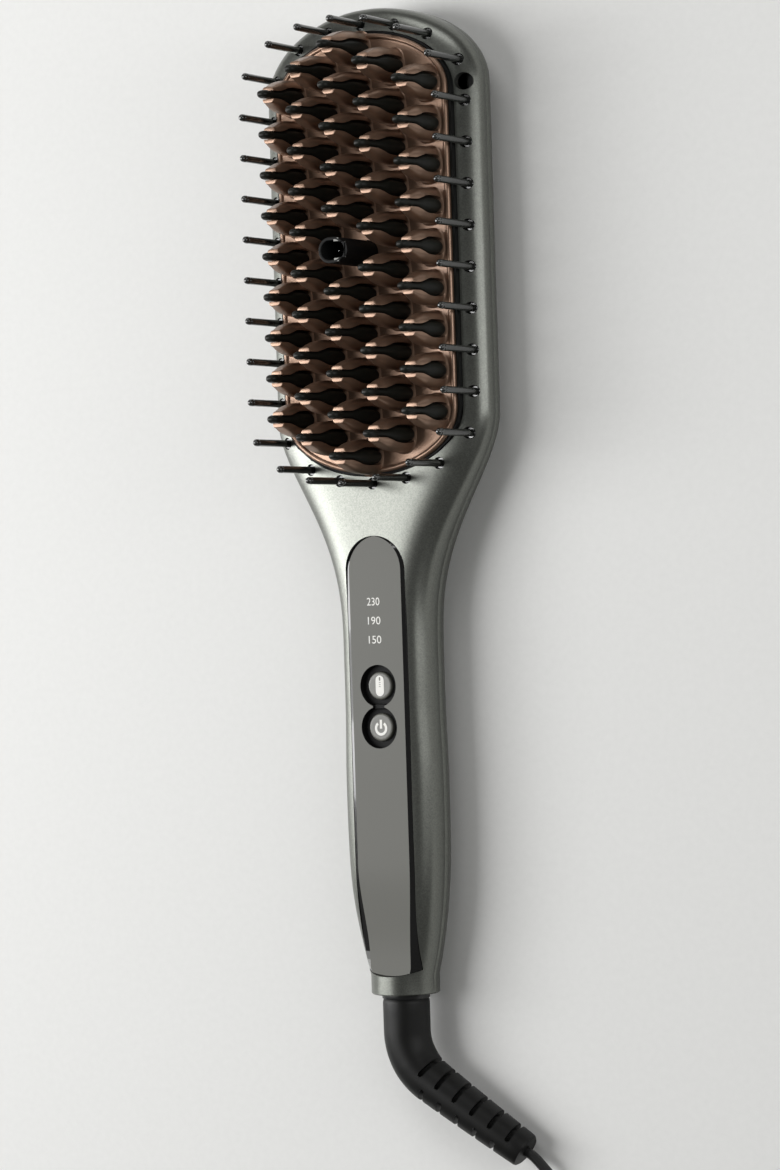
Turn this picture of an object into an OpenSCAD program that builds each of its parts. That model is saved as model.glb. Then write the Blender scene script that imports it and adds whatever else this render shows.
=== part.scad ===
// Heated hair straightening brush with a swivel cord, built as its separate pieces.
// The brush lies on its back: +Z is the way the teeth point, +Y is the way the head points
// and X is the width. Sizes along the brush are measured from the bottom face of the collar.

/* [Overall] */
// Length from the bottom of the collar to the tip of the head
body_l = 286; // [270:1:320]
// Width of the head at the parting line
head_w = 74; // [70:0.5:84]
// Width of the handle at its widest
handle_w = 31; // [28:0.5:36]
// Diameter of the round collar at the cord end
collar_d = 20; // [19:0.5:22]
// Length of the round collar
collar_l = 5.5; // [5:0.5:8]
// Height of the front shell above the parting line
front_h = 9; // [8.5:0.1:11]
// How much higher the front shell stands along the handle than round the plate
handle_crown = 1.2; // [0.6:0.1:1.6]
// Depth of the rear shell below the parting line in the handle
handle_depth = 8.8; // [8:0.1:10]
// Wall thickness of both shells
wall = 2; // [1.6:0.1:2.4]

/* [Head] */
// Length of the head beyond the neck, at full width
head_l = 118; // [114:1:122]
// Length of the flaring neck between the handle and the head
neck_l = 68; // [62:1:72]
// Length of the rounded end of the head
head_round = 24; // [20:1:30]

/* [Heater plate] */
// Width of the rim between the heater plate and the side of the head
rim_w = 7.6; // [7.2:0.1:8.2]
// Length of the heater plate
plate_l = 127; // [125:0.5:129]
// Length of each rounded end of the plate
plate_round = 18; // [14:1:24]
// Thickness of the heater plate
plate_t = 2.5; // [2:0.1:3]
// Width of the raised bead around the plate
bead_w = 1.6; // [1:0.1:2]
// Height of the bead above the plate
bead_h = 0.6; // [0.3:0.1:1]
// Gap between the plate and the front shell, which the gasket fills
plate_gap = 0.9; // [0.7:0.1:1.2]

/* [Teeth] */
// Distance between teeth along the brush
tooth_pitch = 11.75; // [11.4:0.05:12]
// Distance from the outer columns of teeth to the edge of the plate
tooth_edge = 6.4; // [6:0.1:7]
// Height of the copper teeth in the outer columns
tooth_h = 13.5; // [11:0.1:15]
// How much taller the teeth of the next columns are
tooth_rise_inner = 2.5; // [0:0.1:3]
// How much taller the teeth of the middle column are
tooth_rise_middle = 3; // [0:0.1:4]
// Size of a tooth's foot along the brush
tooth_foot_l = 10.3; // [9:0.1:10.8]
// Size of a tooth's foot across the brush
tooth_foot_w = 7.6; // [6.6:0.1:8.4]
// Size of a tooth's top along the brush
tooth_top_l = 4.8; // [4.2:0.1:5.4]
// Size of a tooth's top across the brush
tooth_top_w = 4; // [3.6:0.1:4.8]
// Height of the black cool tip above the copper
tip_h = 4; // [2:0.1:5]
// Thickness of the narrow neck of the cool tip
tip_neck_t = 2.1; // [1.8:0.1:2.6]
// Thickness of the wide body of the cool tip
tip_foot_t = 5.1; // [4.2:0.1:5.4]

/* [Outer pins] */
// Length of a pin above the rim
pin_l = 16.9; // [12:0.1:20]
// Diameter of a pin
pin_d = 2.1; // [1.5:0.1:2.4]
// Distance between the pins along the sides
pin_pitch = 11.86; // [11:0.02:12]
// Distance from the pins at the sides to the side of the head
pin_inset = 3.9; // [3.6:0.1:4.1]
// Diameter of the round recess that each pin rises from
pin_hole_d = 3.5; // [3:0.1:4]

/* [Control panel] */
// Width of the control panel with its slanted border
panel_w = 20; // [18.6:0.2:21]
// Width of the slanted border beside the flat face
panel_border = 1.15; // [0.8:0.05:1.4]
// Distance from the round end of the panel to the end of the neck
panel_gap = 35; // [33:1:38]
// How deep the flat face lies below the crest of the handle
panel_sink = 0.4; // [0.2:0.1:0.8]
// Diameter of the two buttons
button_d = 8.1; // [7:0.1:9]
// Distance between the two buttons
button_gap = 12; // [11.6:0.1:13]
// Distance from the round end of the panel to the power button
power_gap = 55.4; // [52:0.2:58]
// How deep the buttons lie below the face of the panel
button_sink = 0.9; // [0.5:0.1:1.1]
// Travel of a button
button_travel = 0.6; // [0.3:0.1:0.6]
// Radial running clearance of a button in the panel
button_fit = 0.1; // [0.05:0.01:0.15]

/* [Swivel and cord] */
// Diameter of the swivel ring below the collar
swivel_d = 14; // [13:0.5:15]
// Visible height of the swivel ring
swivel_ring_h = 1.5; // [1:0.1:3]
// Radial running clearance of the swivel in the collar
swivel_fit = 0.08; // [0.04:0.01:0.1]
// Diameter of the boot at the swivel
boot_d = 13.7; // [12:0.1:14]
// Diameter of the boot at its free end
boot_end_d = 10.4; // [9:0.1:10.6]
// Diameter of the cord
cord_d = 3; // [2.6:0.1:3.2]

/* [Hidden] */

round_fn = 48;          // facets on round parts
fit = 0.15;             // gap between fixed parts that slip together
seat = 0.1;             // gap under a part that rests on another one

// heights, from the surface that the brush lies on
collar_r = collar_d / 2;
part_z = collar_r;                       // parting line of the two shells
crest_z = part_z + front_h;              // top of the front shell
panel_z = crest_z + handle_crown - panel_sink;   // flat face of the control panel
plate_z = crest_z + 0.5;                 // face of the plate between the teeth
plate_under = plate_z - plate_t;
heater_t = 2.4;
spreader_t = 1.5;
mica_t = 0.6;
heater_z = plate_under - heater_t;
spreader_z = heater_z - spreader_t;
mica_z = spreader_z - mica_t;
cradle_floor = 1.6;
cradle_z = mica_z - cradle_floor;
board_t = 1.6;
board_z = part_z + 0.6;
board_top = board_z + board_t;

// places along the brush, each from the part that it belongs to
neck_end = body_l - head_l;
neck_start = neck_end - neck_l;
panel_end = neck_end - panel_gap;
power_y = panel_end - power_gap;
y_mid = (body_l - swivel_ring_h) / 2;
head_arc_y = body_l - head_round;
plate_y = neck_end + 46.5;
temp_y = power_y + button_gap;
belly_y = panel_end - 71;                // widest place of the handle
waist = 0.5;                             // how much each side draws in again above it
head_depth = part_z + 0.3;               // the rear skin is cut flat on the table plane

// widths in the head, each from the part around it
plate_w = head_w - 2 * rim_w;
column_pitch = (plate_w / 2 - tooth_edge) / 2;
pin_ring_x = head_w / 2 - pin_inset;

// the skins of both shells, at a distance y from the collar's bottom
function lerp(a, b, t) = a + (b - a) * t;
function clamp01(t) = min(1, max(0, t));
function smooth(t) = let (u = clamp01(t)) u * u * (3 - 2 * u);
function power(v, e) = v <= 0 ? 0 : pow(v, e);
function end_cut(y, inset, e) =
    let (u = clamp01((y - head_arc_y) / (head_round - inset))) power(1 - pow(u, e), 1 / e);
function handle_half(y) =
    lerp(collar_r, handle_w / 2, 1 - pow(1 - clamp01((y - collar_l) / (belly_y - collar_l)), 3))
    - waist * smooth((y - belly_y) / 22);
function neck_mix(y) = smooth(pow(clamp01((y - neck_start) / (neck_end - neck_start)), 1.45));
function skin_w(y, inset) =
    (lerp(handle_half(y), head_w / 2, neck_mix(y)) - inset) * end_cut(y, inset, 2);
function crown(y) = handle_crown * (1 - smooth((y - panel_end + 15) / 50));
function front_rise(y, inset) =
    (lerp(collar_r, front_h + crown(y), smooth((y - collar_l) / 34)) - inset) * end_cut(y, inset, 5);
function rear_rise(y, inset) =
    let (handle = lerp(collar_r, handle_depth, smooth((y - collar_l) / 24)))
    (lerp(handle, head_depth, smooth((y - neck_start) / 56)) - inset) * end_cut(y, inset, 4);
function front_power(y) = lerp(2, 3.1, smooth((y - collar_l) / 30));
function rear_power(y) = lerp(2, 2.6, smooth((y - collar_l) / 30));
function front_skin_z(x, y) =
    part_z + front_rise(y, 0) * power(1 - power(abs(x) / skin_w(y, 0), front_power(y)), 1 / front_power(y));

// stations along a shell and the points across it
skin_steps = 16;
function skin_stations(inset) = concat(
    [0, collar_l],
    [for (i = [1:7]) lerp(collar_l, belly_y, pow(i / 7, 1.5))],
    [for (i = [1:11]) lerp(belly_y, neck_end, i / 11)],
    [for (i = [1:4]) lerp(neck_end, head_arc_y, i / 4)],
    [for (i = [1:8]) head_arc_y + (head_round - inset) * sin(i * 10.9)]);
function skin_row(y, w, h, e) = [for (i = [0:skin_steps])
    let (a = 180 * i / skin_steps, c = cos(a))
    [w * sign(c) * power(abs(c), 2 / e), y, h * power(sin(a), 2 / e)]];
function front_rows(inset) = [for (y = skin_stations(inset))
    skin_row(y, skin_w(y, inset), front_rise(y, inset), front_power(y))];
function rear_rows(inset) = [for (y = skin_stations(inset))
    skin_row(y, skin_w(y, inset), rear_rise(y, inset), rear_power(y))];

function quad(a, b, c, d) = [[a, b, c], [a, c, d]];

// a half shell between an outer and an inner skin, open on the parting line and at the collar
module half_shell(outer, inner) {
    rows = len(outer);
    cols = len(outer[0]);
    span = rows * cols;
    last = rows - 1;
    points = concat([for (r = outer) each r], [for (r = inner) each r]);
    skins = [for (j = [0:rows - 2], i = [0:cols - 2])
        let (p = j * cols + i, q = p + cols)
        each concat(quad(p, p + 1, q + 1, q), quad(span + p, span + q, span + q + 1, span + p + 1))];
    edges = [for (j = [0:rows - 2])
        let (p = j * cols, q = p + cols, e = cols - 1)
        each concat(quad(p, q, span + q, span + p), quad(p + e, span + p + e, span + q + e, q + e))];
    mouth = [for (i = [0:cols - 2]) each quad(i, span + i, span + i + 1, i + 1)];
    tip = last * cols;
    caps = [for (i = [1:cols - 2])
        each [[tip, tip + i, tip + i + 1], [span + tip, span + tip + i + 1, span + tip + i]]];
    tip_edge = quad(tip, tip + cols - 1, span + tip + cols - 1, span + tip);
    polyhedron(points, concat(skins, edges, mouth, caps, tip_edge), convexity = 8);
}

// a closed solid through rings of points
module loft(rings) {
    n = len(rings[0]);
    m = len(rings);
    sides = [for (j = [0:m - 2], i = [0:n - 1])
        let (k = (i + 1) % n)
        each quad(j * n + i, j * n + k, (j + 1) * n + k, (j + 1) * n + i)];
    start = [for (i = [1:n - 2]) [0, i + 1, i]];
    finish = [for (i = [1:n - 2]) [(m - 1) * n, (m - 1) * n + i, (m - 1) * n + i + 1]];
    polyhedron([for (r = rings) each r], concat(sides, start, finish), convexity = 8);
}

// a round tube of n sides along a list of points, with its own radius at each point
function unit(v) = v / norm(v);
function heading(path, i) =
    unit(path[min(i + 1, len(path) - 1)] - path[max(i - 1, 0)]);
function tube_ring(p, t, r, n) =
    let (side = unit(cross(t, [0, 0, 1])), up = cross(side, t))
    [for (k = [0:n - 1]) p + r * (cos(360 * k / n) * side + sin(360 * k / n) * up)];
module tube(path, radii, n) {
    loft([for (i = [0:len(path) - 1]) tube_ring(path[i], heading(path, i), radii[i], n)]);
}

// an oval outline: straight sides and ends that are half ellipses
function oval(w, l, end, n = 12) = concat(
    [for (i = [0:n]) [w / 2 * cos(180 * i / n), l / 2 - end + end * sin(180 * i / n)]],
    [for (i = [0:n]) [-w / 2 * cos(180 * i / n), -l / 2 + end - end * sin(180 * i / n)]]);
module oval_slab(w, l, end, z, h, n = 12) {
    translate([0, plate_y, z]) linear_extrude(h) polygon(oval(w, l, end, n));
}
// a rod along +Y that starts at y
module rod(x, y, z, r, l) {
    translate([x, y, z]) rotate([-90, 0, 0]) cylinder(r = r, h = l, $fn = round_fn);
}
module post(x, y, z, r, h) {
    translate([x, y, z]) cylinder(r = r, h = h, $fn = round_fn);
}
module block(x, y, z, w, l, h) {
    translate([x - w / 2, y - l / 2, z]) cube([w, l, h]);
}
// everything is drawn from the collar and then centred on the origin
module place() {
    translate([0, -y_mid, 0]) children();
}

// ---- the ring of outer pins
pin_end_x = [for (share = [0, 0.344, 0.668, 0.949]) share * pin_ring_x];
pin_side_count = 8;
pin_first_y = plate_y + 3.5 * pin_pitch;
pin_ring_end = 19.2;
pin_ring_l = 132.8;
function pin_end_y(x) = pin_ring_end * sqrt(1 - pow(x / pin_ring_x, 2));
function pin_places() = concat(
    [for (k = [0:pin_side_count - 1], s = [-1, 1]) [s * pin_ring_x, pin_first_y - k * pin_pitch]],
    [for (x = pin_end_x, s = [-1, 1], e = [-1, 1]) if (x > 0 || s > 0)
        [s * x, plate_y + e * (pin_ring_l / 2 - pin_ring_end + pin_end_y(x))]]);
pin_ring_w = 2;
pin_ring_t = 1.6;
pin_ring_z = part_z + 0.8;
rim_port = [pin_ring_x, plate_y + 46.9]; // small round port in the rim, upper right
rim_port_d = 5;

// ---- the teeth
function tooth_count(col) = abs(col) == 2 ? 9 : abs(col) == 1 ? 10 : 11;
function tooth_rise(col) = abs(col) == 2 ? 0 : abs(col) == 1 ? tooth_rise_inner : tooth_rise_middle;
function tooth_places() = [for (col = [-2:2], k = [0:tooth_count(col) - 1])
    let (y = (k - (tooth_count(col) - 1) / 2) * tooth_pitch)
    if (col != 0 || abs(y) > 0.1) [col * column_pitch, plate_y + y, tooth_h + tooth_rise(col)]];
// outlines of a tooth, as its half size at shares of its height: along the brush and across it
tooth_side = [[0, 1], [0.25, 1], [0.45, 0.93], [0.6, 0.79], [0.7, 0.63], [0.8, 0.42], [0.88, 0.2],
    [0.94, 0.06], [1, 0]];
tooth_front = [[0, 1], [0.3, 0.9], [0.6, 0.67], [0.8, 0.35], [0.93, 0.07], [1, 0]];
function tooth_half(outline, top, foot, shrink) =
    [for (q = outline) [lerp(top, foot, q[1]) / 2 - shrink, q[0]]];
slot_fit = 0.08;
crown_r = 0.2;

// side view of a tooth's slot and of the cool tip in it: wide body, shoulder, neck and head
function bottle(h, top, gap) = let (
        body = tip_foot_t / 2 + gap,
        neck = tip_neck_t / 2 + gap,
        grow = top > h + 1 ? 0.16 : 0,
        half = [[body * 0.75, 0], [body * 0.9, 0.08 * h], [body, 0.2 * h], [body * 0.93, 0.35 * h],
            [body * 0.82, 0.45 * h], [body * 0.68, 0.55 * h], [neck * 1.3, 0.64 * h], [neck, 0.78 * h],
            [neck, h], [neck + grow, lerp(h, top, 0.3)], [neck + grow, lerp(h, top, 0.75)], [neck, top]])
    concat(half, [for (i = [len(half) - 1:-1:0]) [-half[i][0], half[i][1]]]);
// a slab with that outline, thick along X
module bottle_slab(h, top, gap, thick) {
    translate([-thick / 2, 0, 0]) rotate([90, 0, 90]) linear_extrude(thick) polygon(bottle(h, top, gap));
}
// a form that is round along the brush and flatter across it, with a domed top
module tooth_form(h, low, top, dome, shrink) {
    side = tooth_half(tooth_side, tooth_top_l, tooth_foot_l, shrink);
    front = tooth_half(tooth_front, tooth_top_w, tooth_foot_w, shrink);
    top_r = tooth_top_l / 2 - shrink;
    right = concat([[front[0][0], low - 1]], [for (q = front) [q[0], q[1] * (h - crown_r)]],
        [[tooth_top_w / 2 - shrink, top + 1]]);
    intersection() {
        rotate_extrude($fn = 32) polygon(concat(
            [[0, low], [side[0][0], low]],
            [for (q = side) [q[0], q[1] * (h - crown_r)]],
            [for (a = [15:25:90]) [top_r - dome * (1 - cos(a)), top - dome * (1 - sin(a))]],
            [[0, top]]));
        translate([0, tooth_foot_l / 2 + 1, 0]) rotate([90, 0, 0]) linear_extrude(tooth_foot_l + 2)
            polygon(concat(right, [for (i = [len(right) - 1:-1:0]) [-right[i][0], right[i][1]]]));
    }
}
module tooth(h) {
    difference() {
        tooth_form(h, -0.5, h, crown_r, 0);
        bottle_slab(h, h + 1, slot_fit, tooth_foot_w + 4);
    }
}
// the cool tip fills the slot, stays just inside the tooth's outline and stands up above it
module cool_tip(h) {
    intersection() {
        tooth_form(h, 0, h + tip_h, 1.4, 0.15);
        bottle_slab(h, h + tip_h, 0, tooth_foot_w);
    }
}

// ---- the control panel and its buttons
panel_under = panel_z - 3.4;
panel_deep = part_z + 2.6;               // underside of the panel where the handle narrows
panel_foot_y = 5.6;
panel_foot_rise = 1.9;                   // how much higher the foot's corners are than its middle
foot_sink = 2;                           // how much the face dips towards the foot
foot_narrow = 0.8;                       // how much each side draws in there
foot_border = 1.15;                      // how much wider the border grows there
recess_d = button_gap + 0.2;
recess_depth = 2;
function panel_half(y) =
    let (r = panel_w / 2, top = panel_end - r)
    y <= top ? min(r, handle_half(y) - 0.7) - foot_narrow * foot_mix(y)
    : r * sqrt(max(0, 1 - pow((y - top) / r, 2)));
function foot_mix(y) = smooth((38 - y) / 28);
function panel_face_z(y) = panel_z - foot_sink * foot_mix(y);
function panel_floor(y) = lerp(panel_deep, panel_under, smooth((y - 34) / 20));
function panel_edge_z(y) = min(panel_face_z(y) - 0.6, front_skin_z(panel_half(y), y));
function panel_stations() = concat(
    [for (i = [0:9]) lerp(3, power_y - 8, i / 9)],
    [for (i = [1:4]) lerp(power_y - 8, panel_end - panel_w / 2, i / 4)],
    [for (i = [1:9]) panel_end - panel_w / 2 * (1 - sin(i * 9.7))]);
function panel_row(y) =
    let (w = panel_half(y), e = panel_edge_z(y), b = panel_floor(y), top = panel_face_z(y),
        border = min(w * 0.7, panel_border + foot_border * foot_mix(y)), f = w - border)
    [[w, y, b], [w, y, e], [f, y, top], [-f, y, top], [-w, y, e], [-w, y, b]];
// the same outline, wider by the fit and open above, cuts the front shell
function panel_cut_row(y) =
    let (w = panel_half(y) + fit, b = panel_floor(y) - fit, top = crest_z + 3)
    [[w, y, b], [w, y, top], [-w, y, top], [-w, y, b]];
// the foot of the panel is an arc, its corners nearer the head than its middle
module panel_foot_limit(gap) {
    half = panel_half(12);
    r = (half * half + panel_foot_rise * panel_foot_rise) / (2 * panel_foot_rise);
    difference() {
        block(0, panel_foot_y, part_z - 1, collar_d + 14, 16, front_h + 6);
        translate([0, panel_foot_y - gap + r, part_z - 2])
            cylinder(r = r, h = front_h + 9, $fn = 96);
    }
}
button_under = panel_under - seat;       // top of the flange that keeps a button in the panel
flange_t = 0.8;
stem_z = button_under - flange_t - 0.2;
switch_gap = button_travel + 0.1;
plunger_t = 0.4;
switch_top = stem_z - switch_gap - plunger_t;
module button(y) {
    top = panel_z - button_sink;
    r = button_d / 2;
    translate([0, y, 0]) {
        rotate_extrude($fn = round_fn) polygon([
            [0, stem_z], [1.2, stem_z], [1.2, button_under - flange_t],
            [r + 0.8, button_under - flange_t], [r + 0.8, button_under], [r, button_under],
            [r, top - 0.5], [r - 0.35, top - 0.12], [r - 1, top], [0, top]]);
    }
}

// ---- fasteners and supports
handle_screw_y = panel_end - 75;
neck_screw_y = neck_start + 42;
head_screw_x = plate_w / 2 - 5.4;
head_screw_dy = 39.5;
shell_screw_r = 1.1;
board_y = [panel_end - 71, panel_end - 1];
board_w = 19;
board_post_x = 7;
board_post_y = [board_y[0] + 6, board_y[1] - 6];
rail_h = 1.6;
rail_z = panel_under - fit - rail_h;
cradle_screw_x = plate_w / 2 - 8.4;
cradle_screw_dy = [-45, 0, 45];
cradle_screw_r = 0.8;
boss_r = 3;
lip_l = 3;
lip_bore = 5.2;
function head_screws() = [for (sx = [-1, 1], sy = [-1, 1])
    [sx * head_screw_x, plate_y + sy * head_screw_dy]];
function cradle_screw_places() = [for (sx = [-1, 1], dy = cradle_screw_dy)
    [sx * cradle_screw_x, plate_y + dy]];
function rear_floor_z(x, y) =
    let (e = rear_power(y), share = 1 - power(abs(x) / skin_w(y, wall), e))
    part_z - rear_rise(y, wall) * power(share, 1 / e);
function ring_rest_places() = [for (sx = [-1, 1], dy = [-3, 0, 3])
    [sx * pin_ring_x, plate_y + dy * pin_pitch]];

// ---- front and rear shell
module collar_lip(up) {
    intersection() {
        difference() {
            rod(0, 0, part_z, collar_r - 0.4, lip_l);
            rod(0, -1, part_z, lip_bore, lip_l + 2);
        }
        block(0, lip_l / 2, up > 0 ? part_z : part_z - collar_r, collar_d, lip_l + 2, collar_r);
    }
}
module front_shell() {
    color("slategray") place() difference() {
        union() {
            difference() {
                translate([0, 0, part_z]) half_shell(front_rows(0), front_rows(wall));
                panel_opening();
            }
            collar_lip(1);
            for (s = [-1, 1])
                block(s * 11.6, panel_end - 43, rail_z, 2.6, 70, rail_h);
            block(0, handle_screw_y, rail_z, 25, 6, rail_h);
            post(0, handle_screw_y, part_z + 0.05, boss_r, rail_z - part_z);
            post(0, neck_screw_y, part_z + 0.05, boss_r, front_h - wall + 0.3);
        }
        oval_slab(plate_w + 2 * plate_gap, plate_l + 2 * plate_gap, plate_round + plate_gap,
            part_z - 1, front_h + 4);
        for (p = pin_places()) post(p[0], p[1], pin_ring_z + pin_ring_t, pin_hole_d / 2, front_h);
        post(rim_port[0], rim_port[1], part_z, rim_port_d / 2, front_h + 2);
        post(0, handle_screw_y, part_z - 1, shell_screw_r - 0.2, 4.6);
        post(0, neck_screw_y, part_z - 1, shell_screw_r - 0.2, 5.6);
    }
}
module panel_opening() {
    difference() {
        loft([for (y = panel_stations()) panel_cut_row(y)]);
        panel_foot_limit(fit);
    }
}
screw_head_r = 2.1;
screw_head_t = 1.6;
shell_seat_z = part_z / 2;               // step that the shell screws' heads pull on
module screw_tower(x, y, top) {
    floor_z = rear_floor_z(x, y);
    post(x, y, floor_z - 0.8, boss_r, top - floor_z + 0.8);
}
module rear_shell() {
    color("slategray") place() difference() {
        union() {
            mirror([0, 0, 1]) translate([0, 0, -part_z]) half_shell(rear_rows(0), rear_rows(wall));
            collar_lip(-1);
            for (p = head_screws()) screw_tower(p[0], p[1], cradle_z);
            screw_tower(0, handle_screw_y, part_z);
            screw_tower(0, neck_screw_y, part_z);
            for (sx = [-1, 1], y = board_post_y) {
                floor_z = rear_floor_z(sx * board_post_x, y);
                post(sx * board_post_x, y, floor_z - 0.8, 2.2, board_z - floor_z + 0.8);
            }
            for (p = ring_rest_places()) {
                floor_z = rear_floor_z(p[0], p[1]);
                post(p[0], p[1], floor_z - 0.8, 1.4, pin_ring_z - seat - floor_z + 0.8);
            }
        }
        block(0, body_l / 2, -6, head_w + 10, body_l + 40, 6);
        for (p = concat(head_screws(), [[0, handle_screw_y], [0, neck_screw_y]])) {
            post(p[0], p[1], -1, shell_screw_r + 0.1, part_z + 3);
            post(p[0], p[1], -1, screw_head_r + 0.2, shell_seat_z + 1);
        }
        for (sx = [-1, 1], y = board_post_y)
            post(sx * board_post_x, y, board_z - 5, 0.8, 6);
    }
}

// ---- heater
module plate_outline(inset) {
    translate([0, plate_y]) polygon(oval(plate_w - 2 * inset, plate_l - 2 * inset, plate_round - inset));
}
nozzle_w = 9;
nozzle_l = 7.5;
nozzle_h = 17.5;
nozzle_wall = 1;
module obround(w, l) {
    square([w - l, l], center = true);
    for (s = [-1, 1]) translate([s * (w - l) / 2, 0]) circle(d = l, $fn = round_fn);
}
module heater_plate() {
    color("rosybrown") place() difference() {
        union() {
            translate([0, 0, plate_under]) linear_extrude(plate_t) plate_outline(0);
            translate([0, 0, plate_z - 0.5]) linear_extrude(bead_h + 0.5) difference() {
                plate_outline(0);
                plate_outline(bead_w);
            }
            for (t = tooth_places()) translate([t[0], t[1], plate_z]) tooth(t[2]);
            for (p = cradle_screw_places())
                post(p[0], p[1], mica_z, 2, plate_under - mica_z + 0.5);
        }
        translate([0, plate_y, plate_under - 1]) linear_extrude(plate_t + 2)
            obround(nozzle_w + 2 * fit, nozzle_l + 2 * fit);
        for (p = cradle_screw_places()) post(p[0], p[1], mica_z - 1, cradle_screw_r, 4.4);
    }
}
module plate_gasket() {
    gap = 0.05;
    h = 1.6;
    color("black") place() translate([0, 0, plate_under + 0.2]) linear_extrude(h) difference() {
        plate_outline(gap - plate_gap);
        plate_outline(-gap);
    }
}
module cool_tips() {
    color("#1c1c1c") place() for (t = tooth_places())
        translate([t[0], t[1], plate_z + 0.02]) cool_tip(t[2]);
}
module pin_ring() {
    color("#161616") place() difference() {
        oval_slab(2 * pin_ring_x + pin_ring_w, pin_ring_l + pin_ring_w, pin_ring_end + pin_ring_w / 2,
            pin_ring_z, pin_ring_t, 16);
        oval_slab(2 * pin_ring_x - pin_ring_w, pin_ring_l - pin_ring_w, pin_ring_end - pin_ring_w / 2,
            pin_ring_z - 1, pin_ring_t + 2, 16);
    }
}
// each pin stands on the ring with a thick foot that fills its hole in the front shell
module outer_pins() {
    foot_z = pin_ring_z + pin_ring_t;
    color("#161616") place() for (p = pin_places()) {
        rim_z = front_skin_z(abs(p[0]), p[1]);
        post(p[0], p[1], foot_z, pin_hole_d / 2 - fit, rim_z - 0.9 - foot_z);
        post(p[0], p[1], foot_z, pin_d / 2, rim_z + pin_l - pin_d / 2 - foot_z);
        translate([p[0], p[1], rim_z + pin_l - pin_d / 2]) sphere(pin_d / 2, $fn = 24);
    }
}
module ion_nozzle() {
    web_z = plate_z + 1;
    web_t = 1.5;
    top = plate_z + nozzle_h;
    foot_z = spreader_z + spreader_t + seat;
    color("#202020") place() translate([0, plate_y, 0]) difference() {
        union() {
            translate([0, 0, foot_z]) linear_extrude(top - foot_z) obround(nozzle_w, nozzle_l);
            translate([0, 0, foot_z]) linear_extrude(plate_under - seat - foot_z)
                obround(nozzle_w + 2.4, nozzle_l + 3);
        }
        translate([0, 0, foot_z - 1]) linear_extrude(web_z - foot_z + 1)
            obround(nozzle_w - 2 * nozzle_wall, nozzle_l - 2 * nozzle_wall);
        translate([0, 0, web_z + web_t]) linear_extrude(nozzle_h)
            obround(nozzle_w - 2 * nozzle_wall, nozzle_l - 2 * nozzle_wall);
        block(nozzle_w / 2, 0, top - 1.4, nozzle_w, nozzle_l - 3, 2);
        translate([0, 0, web_z - 1]) cylinder(r = needle_r + 0.05, h = web_t + 2, $fn = round_fn);
    }
}
needle_r = 0.4;
module_h = 7.4;
module_z = part_z - 8;
module emitter_needle() {
    tip_z = plate_z + nozzle_h - 4;
    base_z = module_z + module_h;
    color("silver") place() translate([0, plate_y, 0]) rotate_extrude($fn = 24) polygon([
        [0, base_z], [needle_r, base_z], [needle_r, tip_z - 2], [0.08, tip_z], [0, tip_z]]);
}
strip_w = 10;
strip_l = 96;
strip_x = 11;
module heater_strips() {
    color("ivory") place() for (s = [-1, 1])
        block(s * strip_x, plate_y, heater_z, strip_w, strip_l, heater_t);
}
spreader_w = plate_w - 22.8;
spreader_l = 100;
needle_hole_r = 1.2;
module heat_spreader() {
    color("silver") place() difference() {
        block(0, plate_y, spreader_z, spreader_w, spreader_l, spreader_t);
        post(0, plate_y, spreader_z - 1, needle_hole_r, spreader_t + 2);
    }
}
module mica_sheet() {
    color("wheat") place() difference() {
        block(0, plate_y, mica_z, spreader_w + 1, spreader_l + 1, mica_t);
        post(0, plate_y, mica_z - 1, needle_hole_r, mica_t + 2);
    }
}
cradle_w = plate_w - 2;
cradle_l = plate_l - 2;
cradle_wall = 1.6;
lead_x = 5;
module heater_cradle() {
    end = plate_round - 1;
    color("dimgray") place() difference() {
        union() {
            oval_slab(cradle_w, cradle_l, end, cradle_z, cradle_floor);
            difference() {
                oval_slab(cradle_w, cradle_l, end, cradle_z, plate_under - seat - cradle_z);
                oval_slab(cradle_w - 2 * cradle_wall, cradle_l - 2 * cradle_wall, end - cradle_wall,
                    cradle_z - 1, plate_t + 9);
            }
            for (p = head_screws()) post(p[0], p[1], cradle_z, 2.6, plate_under - seat - cradle_z);
        }
        for (s = [-1, 1])
            block(s * lead_x, plate_y - cradle_l / 2 + 2, cradle_z + cradle_floor, 3, 12, 6);
        post(0, plate_y, cradle_z - 1, needle_hole_r, cradle_floor + 2);
        for (p = cradle_screw_places()) post(p[0], p[1], cradle_z - 1, cradle_screw_r + 0.1, 4);
        for (p = head_screws()) post(p[0], p[1], cradle_z - 1, shell_screw_r - 0.2, 5.2);
    }
}
module screw(x, y, z, head_r, head_t, r, l) {
    post(x, y, z - head_t, head_r, head_t);
    post(x, y, z - 0.1, r, l + 0.1);
}
module cradle_screws() {
    color("silver") place() for (p = cradle_screw_places())
        screw(p[0], p[1], cradle_z, 1.7, 1.1, cradle_screw_r - 0.05, 4.6);
}
module shell_screws() {
    color("silver") place() {
        for (p = head_screws())
            screw(p[0], p[1], shell_seat_z, screw_head_r, screw_head_t, shell_screw_r - 0.25,
                cradle_z + 4 - shell_seat_z);
        for (y = [handle_screw_y, neck_screw_y])
            screw(0, y, shell_seat_z, screw_head_r, screw_head_t, shell_screw_r - 0.25,
                part_z + 3.4 - shell_seat_z);
    }
}
sensor_r = 1.1;
fuse_l = 9;
module thermistor() {
    color("darkred") place() rod(0, plate_y - 24, plate_under - 0.02 - sensor_r, sensor_r, 6);
}
module thermal_fuse() {
    color("gainsboro") place() rod(0, plate_y + 16, plate_under - 0.02 - sensor_r, sensor_r, fuse_l);
}
module ion_module() {
    color("#303030") place() block(0, plate_y, module_z, 20, 34, module_h);
}

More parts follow.
